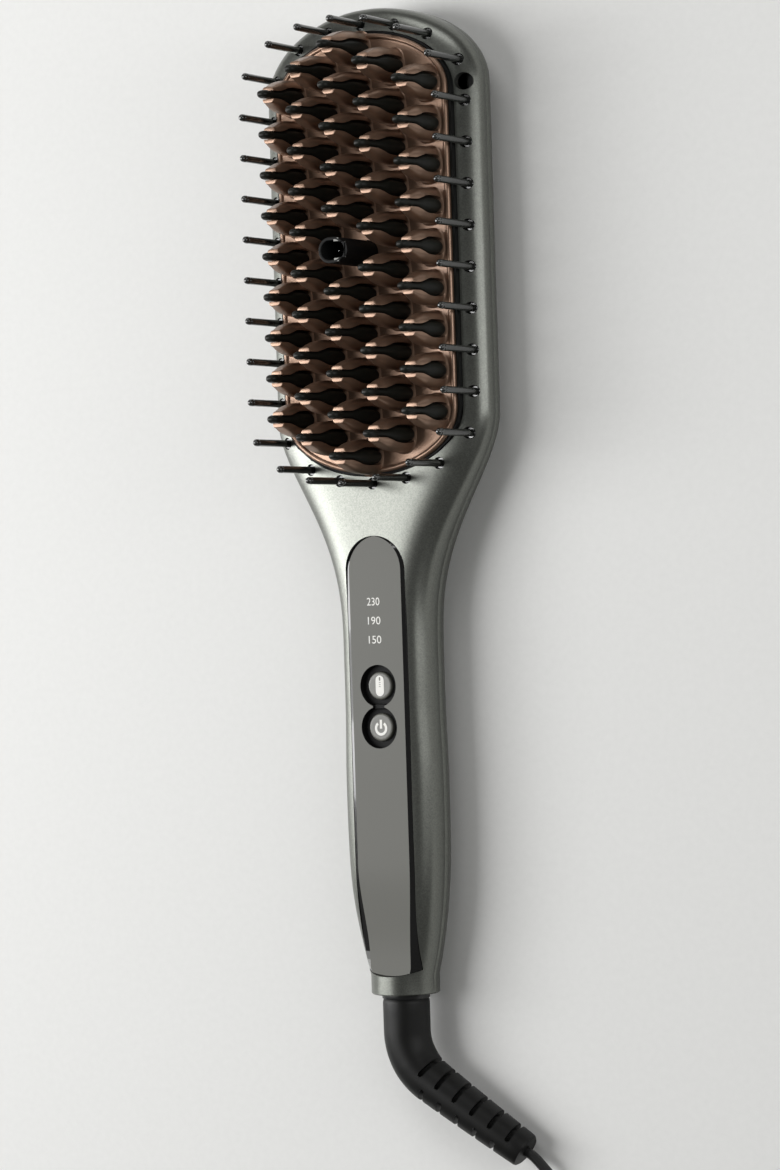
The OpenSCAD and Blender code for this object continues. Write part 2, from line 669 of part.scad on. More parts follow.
// ---- control panel, buttons and electronics
module control_panel() {
    color("#2a2a2c") place() difference() {
        loft([for (y = panel_stations()) panel_row(y)]);
        panel_foot_limit(0);
        for (y = [power_y, temp_y]) {
            post(0, y, panel_z - recess_depth, recess_d / 2, recess_depth + 1);
            post(0, y, panel_under - 1, button_d / 2 + button_fit, panel_z - panel_under);
        }
        block(0, power_y + button_gap / 2, panel_z - recess_depth + 0.6, 4, 4, recess_depth + 1);
        rod(0, 0, part_z, ring_r + 0.4, block_y[1] + 1);
    }
}
module power_button() {
    color("#111111") place() button(power_y);
}
module temp_button() {
    color("#111111") place() button(temp_y);
}
module control_board() {
    color("darkgreen") place() difference() {
        translate([-board_w / 2, board_y[0], board_z])
            cube([board_w, board_y[1] - board_y[0], board_t]);
        for (sx = [-1, 1], y = board_post_y) post(sx * board_post_x, y, board_z - 1, 0.95, board_t + 2);
    }
}
module board_screws() {
    color("silver") place() for (sx = [-1, 1], y = board_post_y) {
        post(sx * board_post_x, y, board_top, 1.6, 1);
        post(sx * board_post_x, y, board_z - 4, 0.75, board_t + 4.1);
    }
}
module tact_switches() {
    color("gray") place() for (y = [power_y, temp_y]) {
        block(0, y, board_top, 5, 5, switch_top - board_top);
        post(0, y, switch_top, 1.1, plunger_t);
    }
}
light_y = [panel_end - 30, panel_end - 24.5, panel_end - 19];
module status_lights() {
    color("white") place() for (y = light_y) block(0, y, board_top, 1.6, 1.2, 0.8);
}
module light_guide() {
    bar_z = board_top + 0.9;
    color("lightcyan") place() {
        for (y = light_y) post(0, y, bar_z, 1.2, panel_under - 0.05 - bar_z);
        block(0, light_y[1], bar_z, 1.6, light_y[2] - light_y[0] + 8, 1.2);
        for (s = [-1, 1])
            block(0, light_y[1] + s * ((light_y[2] - light_y[0]) / 2 + 3.4), board_top, 1.6, 1.2, 1.2);
    }
}
capacitor_r = 2.6;
module board_parts() {
    under = board_z;
    color("darkslateblue") place() {
        block(0, board_y[0] + 12, under - 5.5, 9, 7, 5.5);
        block(0, board_y[0] + 24, under - 3, 10, 9, 3);
        rod(0, board_y[0] + 35, under - capacitor_r, capacitor_r, 9);
        block(0, board_y[0] + 51, under - 1.2, 7, 7, 1.2);
    }
}
lead_r = 0.8;
module heater_leads() {
    flat_z = board_top + lead_r;
    strip_end = plate_y - strip_l / 2;
    color("red") place() for (s = [-1, 1])
        tube([[s * lead_x, board_y[1] - 4, flat_z], [s * lead_x, board_y[1] + 8, flat_z],
            [s * lead_x, strip_end - 15, flat_z + 0.4], [s * (lead_x + 1.5), strip_end - 9, flat_z + 1.4],
            [s * (strip_x - 1), strip_end - 3, heater_z + heater_t / 2],
            [s * (strip_x - 1), strip_end - 0.02, heater_z + heater_t / 2]],
            [for (i = [1:6]) lead_r], 8);
}
block_y = [8, 18.4];
block_z = [part_z - 7.1, part_z - 5.3];
ring_y = [10, 15.4];
ring_w = 1.6;
ring_r = 4.6;
stem_r = 3.95;
module supply_leads() {
    color("saddlebrown") place() for (s = [-1, 1])
        tube([[s * 1.5, block_y[1] + 0.02, block_z[0] + 1], [s * 1.5, block_y[1] + 2, block_z[0] + 1],
            [s * 3.4, 28, part_z - 5], [s * 5.6, board_y[0] - 22, part_z - 3],
            [s * 5.6, board_y[0] - 8, part_z - 1], [s * 5.6, board_y[0], board_z - lead_r],
            [s * 5.6, board_y[0] + 3, board_z - lead_r]],
            [for (i = [1:7]) lead_r], 8);
}
module contact_block() {
    color("beige") place() block(0, (block_y[0] + block_y[1]) / 2, block_z[0], 5,
        block_y[1] - block_y[0], block_z[1] - block_z[0]);
}
module contact_fingers() {
    color("gold") place() for (y = ring_y)
        block(0, y, block_z[1], 3, ring_w, part_z - ring_r - 0.25 - block_z[1]);
}

// ---- swivel
module swivel_stem() {
    flange_y = lip_l + 0.1;
    neck_r = lip_bore - swivel_fit;
    color("#101010") place() translate([0, 0, part_z]) rotate([-90, 0, 0])
        rotate_extrude($fn = 64) polygon([
            [1.6, -swivel_ring_h], [swivel_d / 2 - 0.3, -swivel_ring_h],
            [swivel_d / 2, 0.3 - swivel_ring_h], [swivel_d / 2, -0.1], [neck_r, -0.1],
            [neck_r, flange_y], [6.8, flange_y], [6.8, flange_y + 1.6], [stem_r, flange_y + 1.6],
            [stem_r, block_y[1]], [1.6, block_y[1]]]);
}
module contact_rings() {
    color("goldenrod") place() for (y = ring_y) translate([0, y - ring_w / 2, part_z])
        rotate([-90, 0, 0]) difference() {
            cylinder(r = ring_r, h = ring_w, $fn = round_fn);
            translate([0, 0, -1]) cylinder(r = stem_r + 0.02, h = ring_w + 2, $fn = round_fn);
        }
}

// ---- boot: straight, then a bend to one side, then a long taper with flex slots
boot_straight = 9.5;
boot_bend_r = 17.5;
boot_turn = 56;
boot_run = 34.5;
boot_drop = part_z - boot_end_d / 2 - 0.2;
boot_bend_l = boot_bend_r * boot_turn * PI / 180;
boot_l = boot_straight + boot_bend_l + boot_run;
function boot_plan(s) =
    s <= boot_straight ? [0, -s] :
    let (a = min(boot_turn, (s - boot_straight) / boot_bend_r * 180 / PI),
        rest = max(0, s - boot_straight - boot_bend_l))
    [boot_bend_r * (1 - cos(a)) + rest * sin(a), -boot_straight - boot_bend_r * sin(a) - rest * cos(a)];
function boot_point(s) = let (p = boot_plan(s), t = clamp01((s - boot_straight) / (boot_l - boot_straight)))
    [p[0], p[1] - swivel_ring_h, part_z - boot_drop * power(t, 1.6)];
boot_taper_s = boot_straight + boot_bend_l * 0.6;
function boot_radius(s) =
    lerp(boot_d, boot_end_d, clamp01((s - boot_taper_s) / (boot_l - boot_taper_s))) / 2;
boot_steps = concat([0, boot_straight],
    [for (i = [1:8]) boot_straight + boot_bend_l * i / 8],
    [for (i = [1:4]) boot_straight + boot_bend_l + boot_run * i / 4]);
slot_count = 6;
slot_pitch = 6.3;
slot_end = 5.3;                          // from the last slot to the end of the boot
slot_w = 1.5;
slot_depth = 1.9;
slot_sweep = 156;
// slots on the outer side of the bend lie half way between those on the inner side
module boot_slots(side) {
    shift = side > 0 ? 0 : 0.5;
    for (i = [0:slot_count - 1 - 2 * shift]) {
        s = boot_l - slot_end - (slot_count - 1 - i - shift) * slot_pitch;
        p = boot_point(s);
        t = boot_point(s + 0.5) - boot_point(s - 0.5);
        turn = atan2(t[1], t[0]);
        dip = atan2(t[2], norm([t[0], t[1]]));
        translate(p) rotate([0, 0, turn]) rotate([0, -dip, 0]) rotate([0, 90, 0])
            translate([0, 0, -slot_w / 2]) rotate([0, 0, 180 - side * 90 - slot_sweep / 2])
                rotate_extrude(angle = slot_sweep, $fn = 36)
                    translate([boot_radius(s) - slot_depth, 0]) square([slot_depth + 3, slot_w]);
    }
}
module cord_boot() {
    color("#181818") place() difference() {
        tube([for (s = boot_steps) boot_point(s)], [for (s = boot_steps) boot_radius(s)], 24);
        boot_slots(1);
        boot_slots(-1);
    }
}

// ---- cord: out of the boot, down to the table and into the coil; out of the coil to the plug
cord_r = cord_d / 2;
boot_end = boot_point(boot_l);
boot_aim = unit(boot_point(boot_l) - boot_point(boot_l - boot_run / 4));
coil_c = [25, -102];
coil_pitch = 3.55;
coil_layers = 4;
coil_turns = 3.5;                        // turns in each layer
coil_out_r = 24.4;
coil_lift = 0.9;                         // the tie passes under the coil
coil_z = 1.5 + coil_lift;
coil_total = coil_layers * coil_turns;
// the radius runs in and out at a steady rate; each layer is climbed in a half turn
function coil_fold(t) = let (u = t / coil_turns, k = floor(u)) k % 2 == 0 ? u - k : 1 - (u - k);
function coil_r_at(t) = coil_out_r - coil_pitch * coil_turns * coil_fold(min(t, coil_total - 0.0001));
function coil_climb(t) = [for (k = 1; k < coil_layers; k = k + 1)
    smooth((t - k * coil_turns + 0.25) / 0.5)];
function sum(v, i = 0) = i >= len(v) ? 0 : v[i] + sum(v, i + 1);
function coil_point(t) = [coil_c[0] + coil_r_at(t) * cos(360 * t), coil_c[1] - coil_r_at(t) * sin(360 * t),
    coil_z + coil_pitch * sum(coil_climb(t))];
coil_start = coil_point(0) + [0, cord_d, 0];
coil_end = coil_point(coil_total) - [0, cord_d, 0];
coil_path = concat([coil_start], [for (i = [0:coil_total * 24]) coil_point(i / 24)], [coil_end]);
coil_gap = min([for (i = [0:len(coil_path) - 13], j = [i + 12:len(coil_path) - 1])
    norm(coil_path[i] - coil_path[j])]) - cord_d;

// hand-chosen points between the boot and the coil, and between the coil and the plug
cord_in = [[42.5, -50.5, 4.2], [46.3, -55, 3.4], [48.4, -61, 2.8], [49.2, -68, 2.5], [49.4, -78, 2.4],
    [49.4, -88, 2.4]];
cord_out = [[49.3, -113, 12.2], [48.2, -120, 10.6], [45.5, -126.5, 8], [41, -132, 5.2], [35.5, -136, 2.9],
    [29, -138, 1.7], [22, -138, 1.8], [15, -138, 3.2], [9, -138, 5.3]];
plug_x = 2;
plug_y = -138;
plug_z = 6.85;
plug_l = 36;
cord_in_path = concat([boot_end, boot_end + cord_d * boot_aim], cord_in,
    [coil_start + [0, cord_d, 0], coil_start]);
cord_out_path = concat([coil_end, coil_end - [0, cord_d, 0]], cord_out,
    [[plug_x + cord_d, plug_y, plug_z - 0.6], [plug_x, plug_y, plug_z - 0.6]]);
function spline(a, b, c, d, t) = 0.5 * (2 * b + (c - a) * t + (2 * a - 5 * b + 4 * c - d) * t * t
    + (3 * b - a - 3 * c + d) * t * t * t);
// a smooth path through the points, whose first and last stretch stay straight
function smooth_path(p, n) = concat([p[0]], [for (i = [1:len(p) - 3], k = [0:n - 1])
    spline(p[i - 1], p[i], p[i + 1], p[i + 2], k / n)], [p[len(p) - 2], p[len(p) - 1]]);
function path_length(p, i = 0) = i >= len(p) - 1 ? 0 : norm(p[i + 1] - p[i]) + path_length(p, i + 1);
module even_tube(path, n) {
    tube(path, [for (p = path) cord_r], n);
}
module cord() {
    color("#101010") place() {
        even_tube(smooth_path(cord_in_path, 2), 8);
        even_tube(smooth_path(cord_out_path, 2), 8);
    }
}
module cord_coil() {
    echo(least_gap_between_turns = coil_gap);
    echo(cord_length = path_length(cord_in_path) + path_length(coil_path) + path_length(cord_out_path));
    color("#101010") place() even_tube(coil_path, 6);
}
tie_w = 6;
tie_t = 0.7;
module coil_tie() {
    bore_r = coil_out_r - coil_pitch * coil_turns - cord_r - 0.3;
    in_r = sqrt(bore_r * bore_r - tie_w * tie_w / 4);
    out_r = coil_out_r + cord_r + 0.3;
    low = coil_lift - 0.1;
    high = coil_z + (coil_layers - 1) * coil_pitch + cord_r + 0.3;
    color("#262626") place() translate([coil_c[0], coil_c[1], 0]) difference() {
        translate([-out_r - tie_t, -tie_w / 2, 0]) cube([out_r - in_r + 2 * tie_t, tie_w, high + tie_t]);
        translate([-out_r, -tie_w, low]) cube([out_r - in_r, 2 * tie_w, high - low]);
    }
}
plug_w = 35;
plug_t = 13.7;
plug_rear = 7;
plug_pin_gap = 19;
function plug_row(t) = let (
        s = smooth(t * 1.6),
        w = lerp(plug_rear, plug_w, s) / 2,
        h = lerp(plug_rear, plug_t, smooth(t * 2.4)) / 2,
        e = lerp(2, 4, s),
        z = lerp(plug_z - 0.6, plug_z, smooth(t * 2.4)))
    [for (k = [0:23]) let (a = 360 * k / 24)
        [plug_x - t * plug_l, plug_y + w * sign(cos(a)) * power(abs(cos(a)), 2 / e),
            z + h * sign(sin(a)) * power(abs(sin(a)), 2 / e)]];
module plug_body() {
    color("#141414") place() loft([for (t = [0, 0.08, 0.2, 0.32, 0.44, 0.56, 0.7, 0.94, 1]) plug_row(t)]);
}
module plug_pins() {
    color("silver") place() for (s = [-1, 1])
        translate([plug_x - plug_l, plug_y + s * plug_pin_gap / 2, plug_z]) rotate([0, -90, 0]) {
            cylinder(r = 2, h = 18, $fn = round_fn);
            translate([0, 0, 18]) sphere(2, $fn = 32);
        }
}

front_shell();
rear_shell();
heater_plate();
plate_gasket();
cool_tips();
outer_pins();
pin_ring();
ion_nozzle();
emitter_needle();
heater_strips();
heat_spreader();
mica_sheet();
heater_cradle();
cradle_screws();
thermistor();
thermal_fuse();
ion_module();
control_panel();
power_button();
temp_button();
control_board();
board_screws();
tact_switches();
status_lights();
light_guide();
board_parts();
heater_leads();
supply_leads();
shell_screws();
swivel_stem();
contact_rings();
contact_block();
contact_fingers();
cord_boot();
cord();
cord_coil();
coil_tie();
plug_body();
plug_pins();
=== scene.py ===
# %% [markdown]
# # A heated hair straightening brush
# This lesson dresses a construction model with the looks of the real brush. The frame below
# holds the rigid parts at their real size. Each later cell says what a piece is on the real
# object, how it could be made and why this way was chosen, and then makes it.

# %% The frame and the units
import math
import bmesh
import bpy
from mathutils import Matrix, Vector


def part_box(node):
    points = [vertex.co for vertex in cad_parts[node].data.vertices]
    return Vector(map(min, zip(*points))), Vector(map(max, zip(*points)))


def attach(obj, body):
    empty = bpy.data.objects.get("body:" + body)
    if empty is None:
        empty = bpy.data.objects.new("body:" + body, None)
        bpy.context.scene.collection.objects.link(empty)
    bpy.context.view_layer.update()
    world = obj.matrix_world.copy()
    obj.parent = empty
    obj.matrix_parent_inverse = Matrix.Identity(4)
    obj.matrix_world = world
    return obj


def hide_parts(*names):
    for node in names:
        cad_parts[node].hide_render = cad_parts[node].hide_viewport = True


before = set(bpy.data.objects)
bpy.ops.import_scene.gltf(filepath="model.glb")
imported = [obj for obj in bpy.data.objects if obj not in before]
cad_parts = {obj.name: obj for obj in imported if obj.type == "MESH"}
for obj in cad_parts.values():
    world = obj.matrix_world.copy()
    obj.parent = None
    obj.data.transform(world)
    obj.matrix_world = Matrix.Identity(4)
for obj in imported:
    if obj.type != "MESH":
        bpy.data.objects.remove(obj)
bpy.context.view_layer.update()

MM = 0.001
COLLAR_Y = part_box("rear_shell")[0].y       # the bottom face of the collar, in metres


# %% [markdown]
# ## Brush coordinates
# Sizes along the brush are easiest to read from the bottom face of the collar, as on a drawing.
# One function turns a point in those millimetres into a place in the frame, in metres.

# %% From the drawing to the frame
def place(point):
    x, y, z = point
    return Vector((x * MM, y * MM + COLLAR_Y, z * MM))


def lerp(a, b, t):
    return a + (b - a) * t


def clamp01(t):
    return min(1.0, max(0.0, t))


def smooth(t):
    u = clamp01(t)
    return u * u * (3 - 2 * u)


def power(base, exponent):
    return base ** exponent if base > 0 else 0.0


# %% [markdown]
# ## Camera
# The brush was photographed with a long lens from its +X side. The view is given as three
# turns of the brush and its offset from the lens, found by matching pins, teeth and collar.

# %% The camera
PHOTO_H = 1170                             # height of the photograph, in pixels
FOCAL_PX = 3528                            # focal length in pixels of the photograph
VIEW_TURN = (33.0, -0.2, -1.81)            # yaw, tilt and roll of the brush, in degrees
VIEW_OFFSET = Vector((-0.2, 118.7, 1019.2))  # the collar seen from the lens, in millimetres
VIEW_ZERO_Z = 19.0                         # the fit counted heights from the crest of the shell


def linked(name, data):
    """A new object in the scene that holds this data."""
    made = bpy.data.objects.new(name, data)
    bpy.context.scene.collection.objects.link(made)
    return made


def photo_camera():
    yaw, tilt, roll = (math.radians(a) for a in VIEW_TURN)
    seen = (Matrix.Rotation(roll, 3, "Z") @ Matrix.Rotation(tilt, 3, "X")
            @ Matrix.Diagonal((1, -1, -1)) @ Matrix.Rotation(-yaw, 3, "Y"))
    data = bpy.data.cameras.new("photo_camera")
    data.sensor_width = 36
    data.lens = FOCAL_PX * data.sensor_width / PHOTO_H
    data.clip_start, data.clip_end = 0.05, 20
    camera = linked("photo_camera", data)
    eye = -(seen.transposed() @ VIEW_OFFSET)
    axes = seen.transposed() @ Matrix.Diagonal((1, -1, -1))
    camera.matrix_world = Matrix.Translation(place(eye + Vector((0, 0, VIEW_ZERO_Z)))) @ axes.to_4x4()
    bpy.context.scene.camera = camera
    return camera


camera = photo_camera()
print("camera at", [round(v, 3) for v in camera.location], "lens", round(camera.data.lens, 1), "mm")


# %% [markdown]
# ## Materials
# A material is a small tree of nodes. One helper adds a node, sets its sockets and links it, and
# one turns the hex colours of a paint chart into the linear light that the renderer needs.

# %% Helpers for materials
def linear(code):
    channels = [int(code[i:i + 2], 16) / 255 for i in (1, 3, 5)]
    return [c / 12.92 if c <= 0.04045 else ((c + 0.055) / 1.055) ** 2.4 for c in channels] + [1.0]


def add(tree, kind, sockets=None, **settings):
    """Adds a node, sets its settings, and fills each socket with a value or a link."""
    made = tree.nodes.new(kind)
    for name, value in settings.items():
        setattr(made, name, value)
    for name, value in (sockets or {}).items():
        if isinstance(value, bpy.types.NodeSocket):
            tree.links.new(value, made.inputs[name])
        else:
            made.inputs[name].default_value = value
    return made


def finish(name, **sockets):
    """A material of that name with one Principled shader, and its tree for more nodes."""
    material = bpy.data.materials.new(name)
    material.use_nodes = True
    tree = material.node_tree
    tree.nodes.clear()
    shader = add(tree, "ShaderNodeBsdfPrincipled",
                 {key.replace("_", " "): value for key, value in sockets.items()})
    add(tree, "ShaderNodeOutputMaterial", {"Surface": shader.outputs["BSDF"]})
    return material, tree, shader


def grain(tree, size_mm, detail=2.0, kind="ShaderNodeTexNoise"):
    """A noise whose spots are about size_mm across, on the piece's own coordinates."""
    where = add(tree, "ShaderNodeTexCoord").outputs["Object"]
    sockets = {"Vector": where, "Scale": 1 / (size_mm * MM)}
    if kind == "ShaderNodeTexNoise":
        sockets["Detail"] = detail
    return add(tree, kind, sockets)


def tint(tree, shader, factor, dark, light):
    """Varies the base colour between two hex colours by a noise."""
    mix = add(tree, "ShaderNodeMix", data_type="RGBA")
    tree.links.new(factor, mix.inputs["Factor"])
    mix.inputs["A"].default_value = linear(dark)
    mix.inputs["B"].default_value = linear(light)
    tree.links.new(mix.outputs["Result"], shader.inputs["Base Color"])


def relief(tree, shader, height, depth_mm, strength=1.0):
    """A fine relief from a height pattern, depth_mm deep."""
    bump = add(tree, "ShaderNodeBump", {"Height": height, "Distance": depth_mm * MM, "Strength": strength})
    tree.links.new(bump.outputs["Normal"], shader.inputs["Normal"])


def rough_range(tree, shader, factor, low, high):
    spread = add(tree, "ShaderNodeMapRange", {"Value": factor, "To Min": low, "To Max": high})
    tree.links.new(spread.outputs["Result"], shader.inputs["Roughness"])


# %% [markdown]
# ### Painted shell
# Moulded ABS with a sprayed metallic paint. Fine aluminium flakes in a warm grey lacquer give
# soft bands of light along the handle, with a faint sparkle where a band fades out.

# %% Metallic paint
def metallic_paint():
    material, tree, shader = finish("metallic_paint_on_abs", Metallic=0.86, Roughness=0.34,
                                    Coat_Weight=0.12, Coat_Roughness=0.16)
    flakes = grain(tree, 0.28, kind="ShaderNodeTexVoronoi")
    cell = add(tree, "ShaderNodeSeparateColor", {"Color": flakes.outputs["Color"]})
    tint(tree, shader, cell.outputs["Red"], "#686a65", "#787a74")
    peel = grain(tree, 1.6)
    spark = add(tree, "ShaderNodeMath", {0: cell.outputs["Green"], 1: 0.35}, operation="MULTIPLY")
    both = add(tree, "ShaderNodeMath", {0: spark.outputs[0], 1: peel.outputs[0]}, operation="ADD")
    relief(tree, shader, both.outputs[0], 0.007, 0.5)
    return material


PAINT = metallic_paint()


# %% [markdown]
# ### Copper-coloured ceramic coat
# The plate and its teeth are one aluminium die casting, sprayed with a pigmented ceramic coat.
# It shines like satin metal, with a fine orange peel, and its tone varies a little in soft clouds.

# %% Ceramic coat
def copper_coat():
    material, tree, shader = finish("copper_ceramic_coat", Metallic=0.7, Roughness=0.34,
                                    Coat_Weight=0.25, Coat_Roughness=0.2)
    clouds = grain(tree, 7, 3)
    tint(tree, shader, clouds.outputs[0], "#886d5b", "#9c7f6b")
    peel = grain(tree, 0.5)
    relief(tree, shader, peel.outputs[0], 0.02, 0.35)
    rough_range(tree, shader, peel.outputs[0], 0.30, 0.44)
    return material


COPPER = copper_coat()


# %% [markdown]
# ### Black plastics and rubbers
# Blacks tell the pieces apart: satin glass-filled nylon on the tips of the teeth, glossy nylon
# pins, the polished border of the panel, the soft boot and the cord's PVC. They differ in
# roughness and in the scale of their texture. The same recipe makes greys and other plastics.

# %% Blacks
def moulded(name, dark, light, roughness, texture_mm, depth_mm, **more):
    material, tree, shader = finish(name, Roughness=roughness, **({"IOR": 1.5} | more))
    fine = grain(tree, texture_mm, 3)
    broad = grain(tree, texture_mm * 18, 2)
    tint(tree, shader, broad.outputs[0], dark, light)
    relief(tree, shader, fine.outputs[0], depth_mm, 0.5)
    rough_range(tree, shader, broad.outputs[0], roughness - 0.05, roughness + 0.06)
    return material


TIP_NYLON = moulded("glass_filled_nylon_black", "#171815", "#1e1f1b", 0.4, 0.35, 0.012,
                    IOR=1.3)
PIN_NYLON = moulded("polished_nylon_black", "#141513", "#1d1f1c", 0.24, 0.6, 0.004,
                    IOR=1.7, Coat_Weight=0.7, Coat_Roughness=0.1)
ABS_BLACK = moulded("moulded_abs_black", "#121212", "#1a1a1a", 0.34, 0.4, 0.01)
BOOT_RUBBER = moulded("thermoplastic_rubber_black", "#0c0c0b", "#121211", 0.46, 0.3, 0.02,
                      IOR=1.35)
CORD_PVC = moulded("extruded_pvc_black", "#121211", "#1b1b1a", 0.38, 0.5, 0.012)
SILICONE = moulded("silicone_black", "#0a0a0a", "#0f0f0f", 0.6, 0.3, 0.01, IOR=1.3)
PANEL_GLOSS = moulded("polished_abs_black", "#0e0e0e", "#151515", 0.12, 2.0, 0.002,
                      Coat_Weight=0.6, Coat_Roughness=0.04)
PANEL_FACE = moulded("smoke_lacquer_grey", "#6c6c67", "#70706b", 0.45, 2.0, 0.001, IOR=1.3)
BUTTON_LACQUER = moulded("satin_lacquer_grey", "#5c5c56", "#64645d", 0.34, 0.5, 0.01)
# a pale grey that paints highlights on the rim and the notch of the ion tower
HIGHLIGHT_GREY = moulded("painted_highlight_grey", "#8a8a86", "#9a9a95", 0.45, 0.3, 0.01)
HEAT_NYLON = moulded("glass_filled_nylon_grey", "#3a3a38", "#4b4b48", 0.5, 0.4, 0.02)
COMPONENT = moulded("epoxy_component_black", "#16171a", "#202226", 0.4, 0.4, 0.01)
LEAD_BROWN = moulded("silicone_lead_brown", "#4a2a18", "#5c3823", 0.45, 0.4, 0.01)
LEAD_RED = moulded("silicone_lead_red", "#8a1f18", "#a22a20", 0.45, 0.4, 0.01)


# %% [markdown]
# ### Metals, ceramic and lit symbols
# Turned steel and nickel for screws and plug pins, brass for the slip rings, sintered alumina
# for the heater strips and a laminate for the board. The symbols are white diffusing windows.

# %% Metals and other finishes
def turned_metal(name, dark, light, roughness):
    material, tree, shader = finish(name, Metallic=1.0, Roughness=roughness)
    marks = grain(tree, 0.3, 4)
    tint(tree, shader, marks.outputs[0], dark, light)
    rough_range(tree, shader, marks.outputs[0], roughness - 0.06, roughness + 0.1)
    relief(tree, shader, marks.outputs[0], 0.005, 0.3)
    return material


STEEL = turned_metal("turned_steel", "#8f9192", "#b9bbbc", 0.3)
NICKEL = turned_metal("nickel_plated_brass", "#b3aea3", "#d0ccc2", 0.22)
BRASS = turned_metal("turned_brass", "#9c7b3c", "#c49f58", 0.3)
ALUMINIUM = turned_metal("extruded_aluminium", "#9a9c9e", "#c0c2c4", 0.36)
ALUMINA = moulded("sintered_alumina", "#d9d4c6", "#e8e4d9", 0.6, 0.3, 0.02)
MICA = moulded("pressed_mica_sheet", "#a89a72", "#c4b78f", 0.35, 1.2, 0.02)
BOARD = moulded("solder_mask_green", "#0f3d1e", "#17502a", 0.3, 0.8, 0.01)
ACRYLIC = moulded("clear_acrylic", "#dfe6e8", "#eef3f4", 0.1, 0.8, 0.002, Transmission_Weight=0.85)
SYMBOL_WHITE = moulded("diffusing_white_ink", "#e9e8e2", "#f6f5f0", 0.5, 0.3, 0.005)
print(len(bpy.data.materials), "materials")


# %% [markdown]
# ## Making meshes
# A piece is a list of points in drawing millimetres and a list of faces. The helper builds the
# mesh in place, points its faces outwards, smooths it and keeps edges over an angle crisp.

# %% Helpers for meshes
SHARP_ANGLE = math.radians(32)


def mesh_object(name, points, faces, material=None, sharp=SHARP_ANGLE):
    mesh = bpy.data.meshes.new(name)
    mesh.from_pydata([place(p) for p in points], [], faces)
    mesh.validate()
    made = linked(name, mesh)
    if material:
        mesh.materials.append(material)
    tidy(made, sharp)
    return made


def tidy(made, sharp=SHARP_ANGLE):
    """Merges doubles, points the faces outwards and sets smooth and crisp edges."""
    work = bmesh.new()
    work.from_mesh(made.data)
    bmesh.ops.remove_doubles(work, verts=work.verts, dist=1e-7)
    bmesh.ops.recalc_face_normals(work, faces=work.faces)
    work.to_mesh(made.data)
    work.free()
    made.data.shade_smooth()
    made.data.set_sharp_from_angle(angle=sharp)


def applied(made):
    """The object with its modifiers made part of its mesh."""
    bpy.context.view_layer.update()
    graph = bpy.context.evaluated_depsgraph_get()
    mesh = bpy.data.meshes.new_from_object(made.evaluated_get(graph))
    made.modifiers.clear()
    made.data = mesh
    return made


def combine(made, others, operation):
    """Adds a list of closed pieces to one, or takes them out of it, and removes them."""
    for other in others:
        step = made.modifiers.new("combine", "BOOLEAN")
        step.operation, step.solver, step.object = operation, "EXACT", other
    applied(made)
    for other in others:
        bpy.data.objects.remove(other)


def cut(made, cutters, sharp=SHARP_ANGLE):
    """Cuts a list of closed pieces out of one, and sets its smooth and crisp edges again."""
    combine(made, cutters, "DIFFERENCE")
    made.data.shade_smooth()
    made.data.set_sharp_from_angle(angle=sharp)
    return made


def soften(made, width_mm, angle=40, segments=2):
    """Rounds the crisp edges by a small radius, as a mould or a deburring tool does."""
    step = made.modifiers.new("soften", "BEVEL")
    step.width = width_mm * MM
    step.segments = segments
    step.limit_method = "ANGLE"
    step.angle_limit = math.radians(angle)
    step.harden_normals = False
    step.use_clamp_overlap = True
    return applied(made)


def joined(name, parts, sharp=SHARP_ANGLE):
    """Several pieces as one mesh."""
    work = bmesh.new()
    mesh = bpy.data.meshes.new(name)
    for part in parts:
        for material in part.data.materials:
            if material.name not in mesh.materials:
                mesh.materials.append(material)
        slots = [mesh.materials.find(m.name) for m in part.data.materials]
        start = len(work.faces)
        work.from_mesh(part.data)
        work.faces.ensure_lookup_table()
        for face in work.faces[start:]:
            face.material_index = slots[face.material_index] if slots else 0
    work.to_mesh(mesh)
    work.free()
    for part in parts:
        bpy.data.objects.remove(part)
    made = linked(name, mesh)
    mesh.set_sharp_from_angle(angle=sharp)
    return made


def superellipse(a, b, turn, e):
    """A point of the superellipse with half sizes a and b and power e, at an angle."""
    c, n = math.cos(turn), math.sin(turn)
    return a * math.copysign(power(abs(c), 2 / e), c), b * math.copysign(power(abs(n), 2 / e), n)


def loft(rings, close=True):
    """Faces through rings of equal length, with both ends filled if close."""
    n = len(rings[0])
    points = [p for ring in rings for p in ring]
    faces = [(j * n + i, j * n + (i + 1) % n, (j + 1) * n + (i + 1) % n, (j + 1) * n + i)
             for j in range(len(rings) - 1) for i in range(n)]
    if close:
        faces += [tuple(range(n))[::-1], tuple(range(len(points) - n, len(points)))]
    return points, faces


def turned(profile, centre, axis="Z", steps=48):
    """A turned piece: the profile's (radius, height) points go round a centre line."""
    x0, y0, z0 = centre
    points, faces, rows = [], [], []
    for radius, height in profile:
        row = []
        for k in range(1 if radius == 0 else steps):
            a = 2 * math.pi * k / steps
            u, v = radius * math.cos(a), radius * math.sin(a)
            row.append(len(points))
            points.append((x0 + u, y0 + v, z0 + height) if axis == "Z" else (x0 + u, y0 + height, z0 + v))
        rows.append(row)
    for low, high in zip(rows, rows[1:]):
        for k in range(steps):
            corners = [low[k % len(low)], low[(k + 1) % len(low)],
                       high[(k + 1) % len(high)], high[k % len(high)]]
            corners = list(dict.fromkeys(corners))
            if len(corners) > 2:
                faces.append(corners)
    return points, faces


def settle(made, body, slot, *nodes):
    """The piece rides on a body and stands for CAD nodes. Its slot is not used."""
    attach(made, body)
    if nodes:
        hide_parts(*nodes)
    faces = sum(len(p.vertices) - 2 for p in made.data.polygons)
    print(f"{made.name}: {faces} triangles on {body}")
    return made


# %% [markdown]
# ## The cord
# A three millimetre cord, 1.74 m long, leaves the boot, drops to the table and is wound into a
# coil just outside the picture. Its middle line is one open curve with a round bevel, so its
# length can be measured. The route repeats the drawing's points and starts inside the boot.

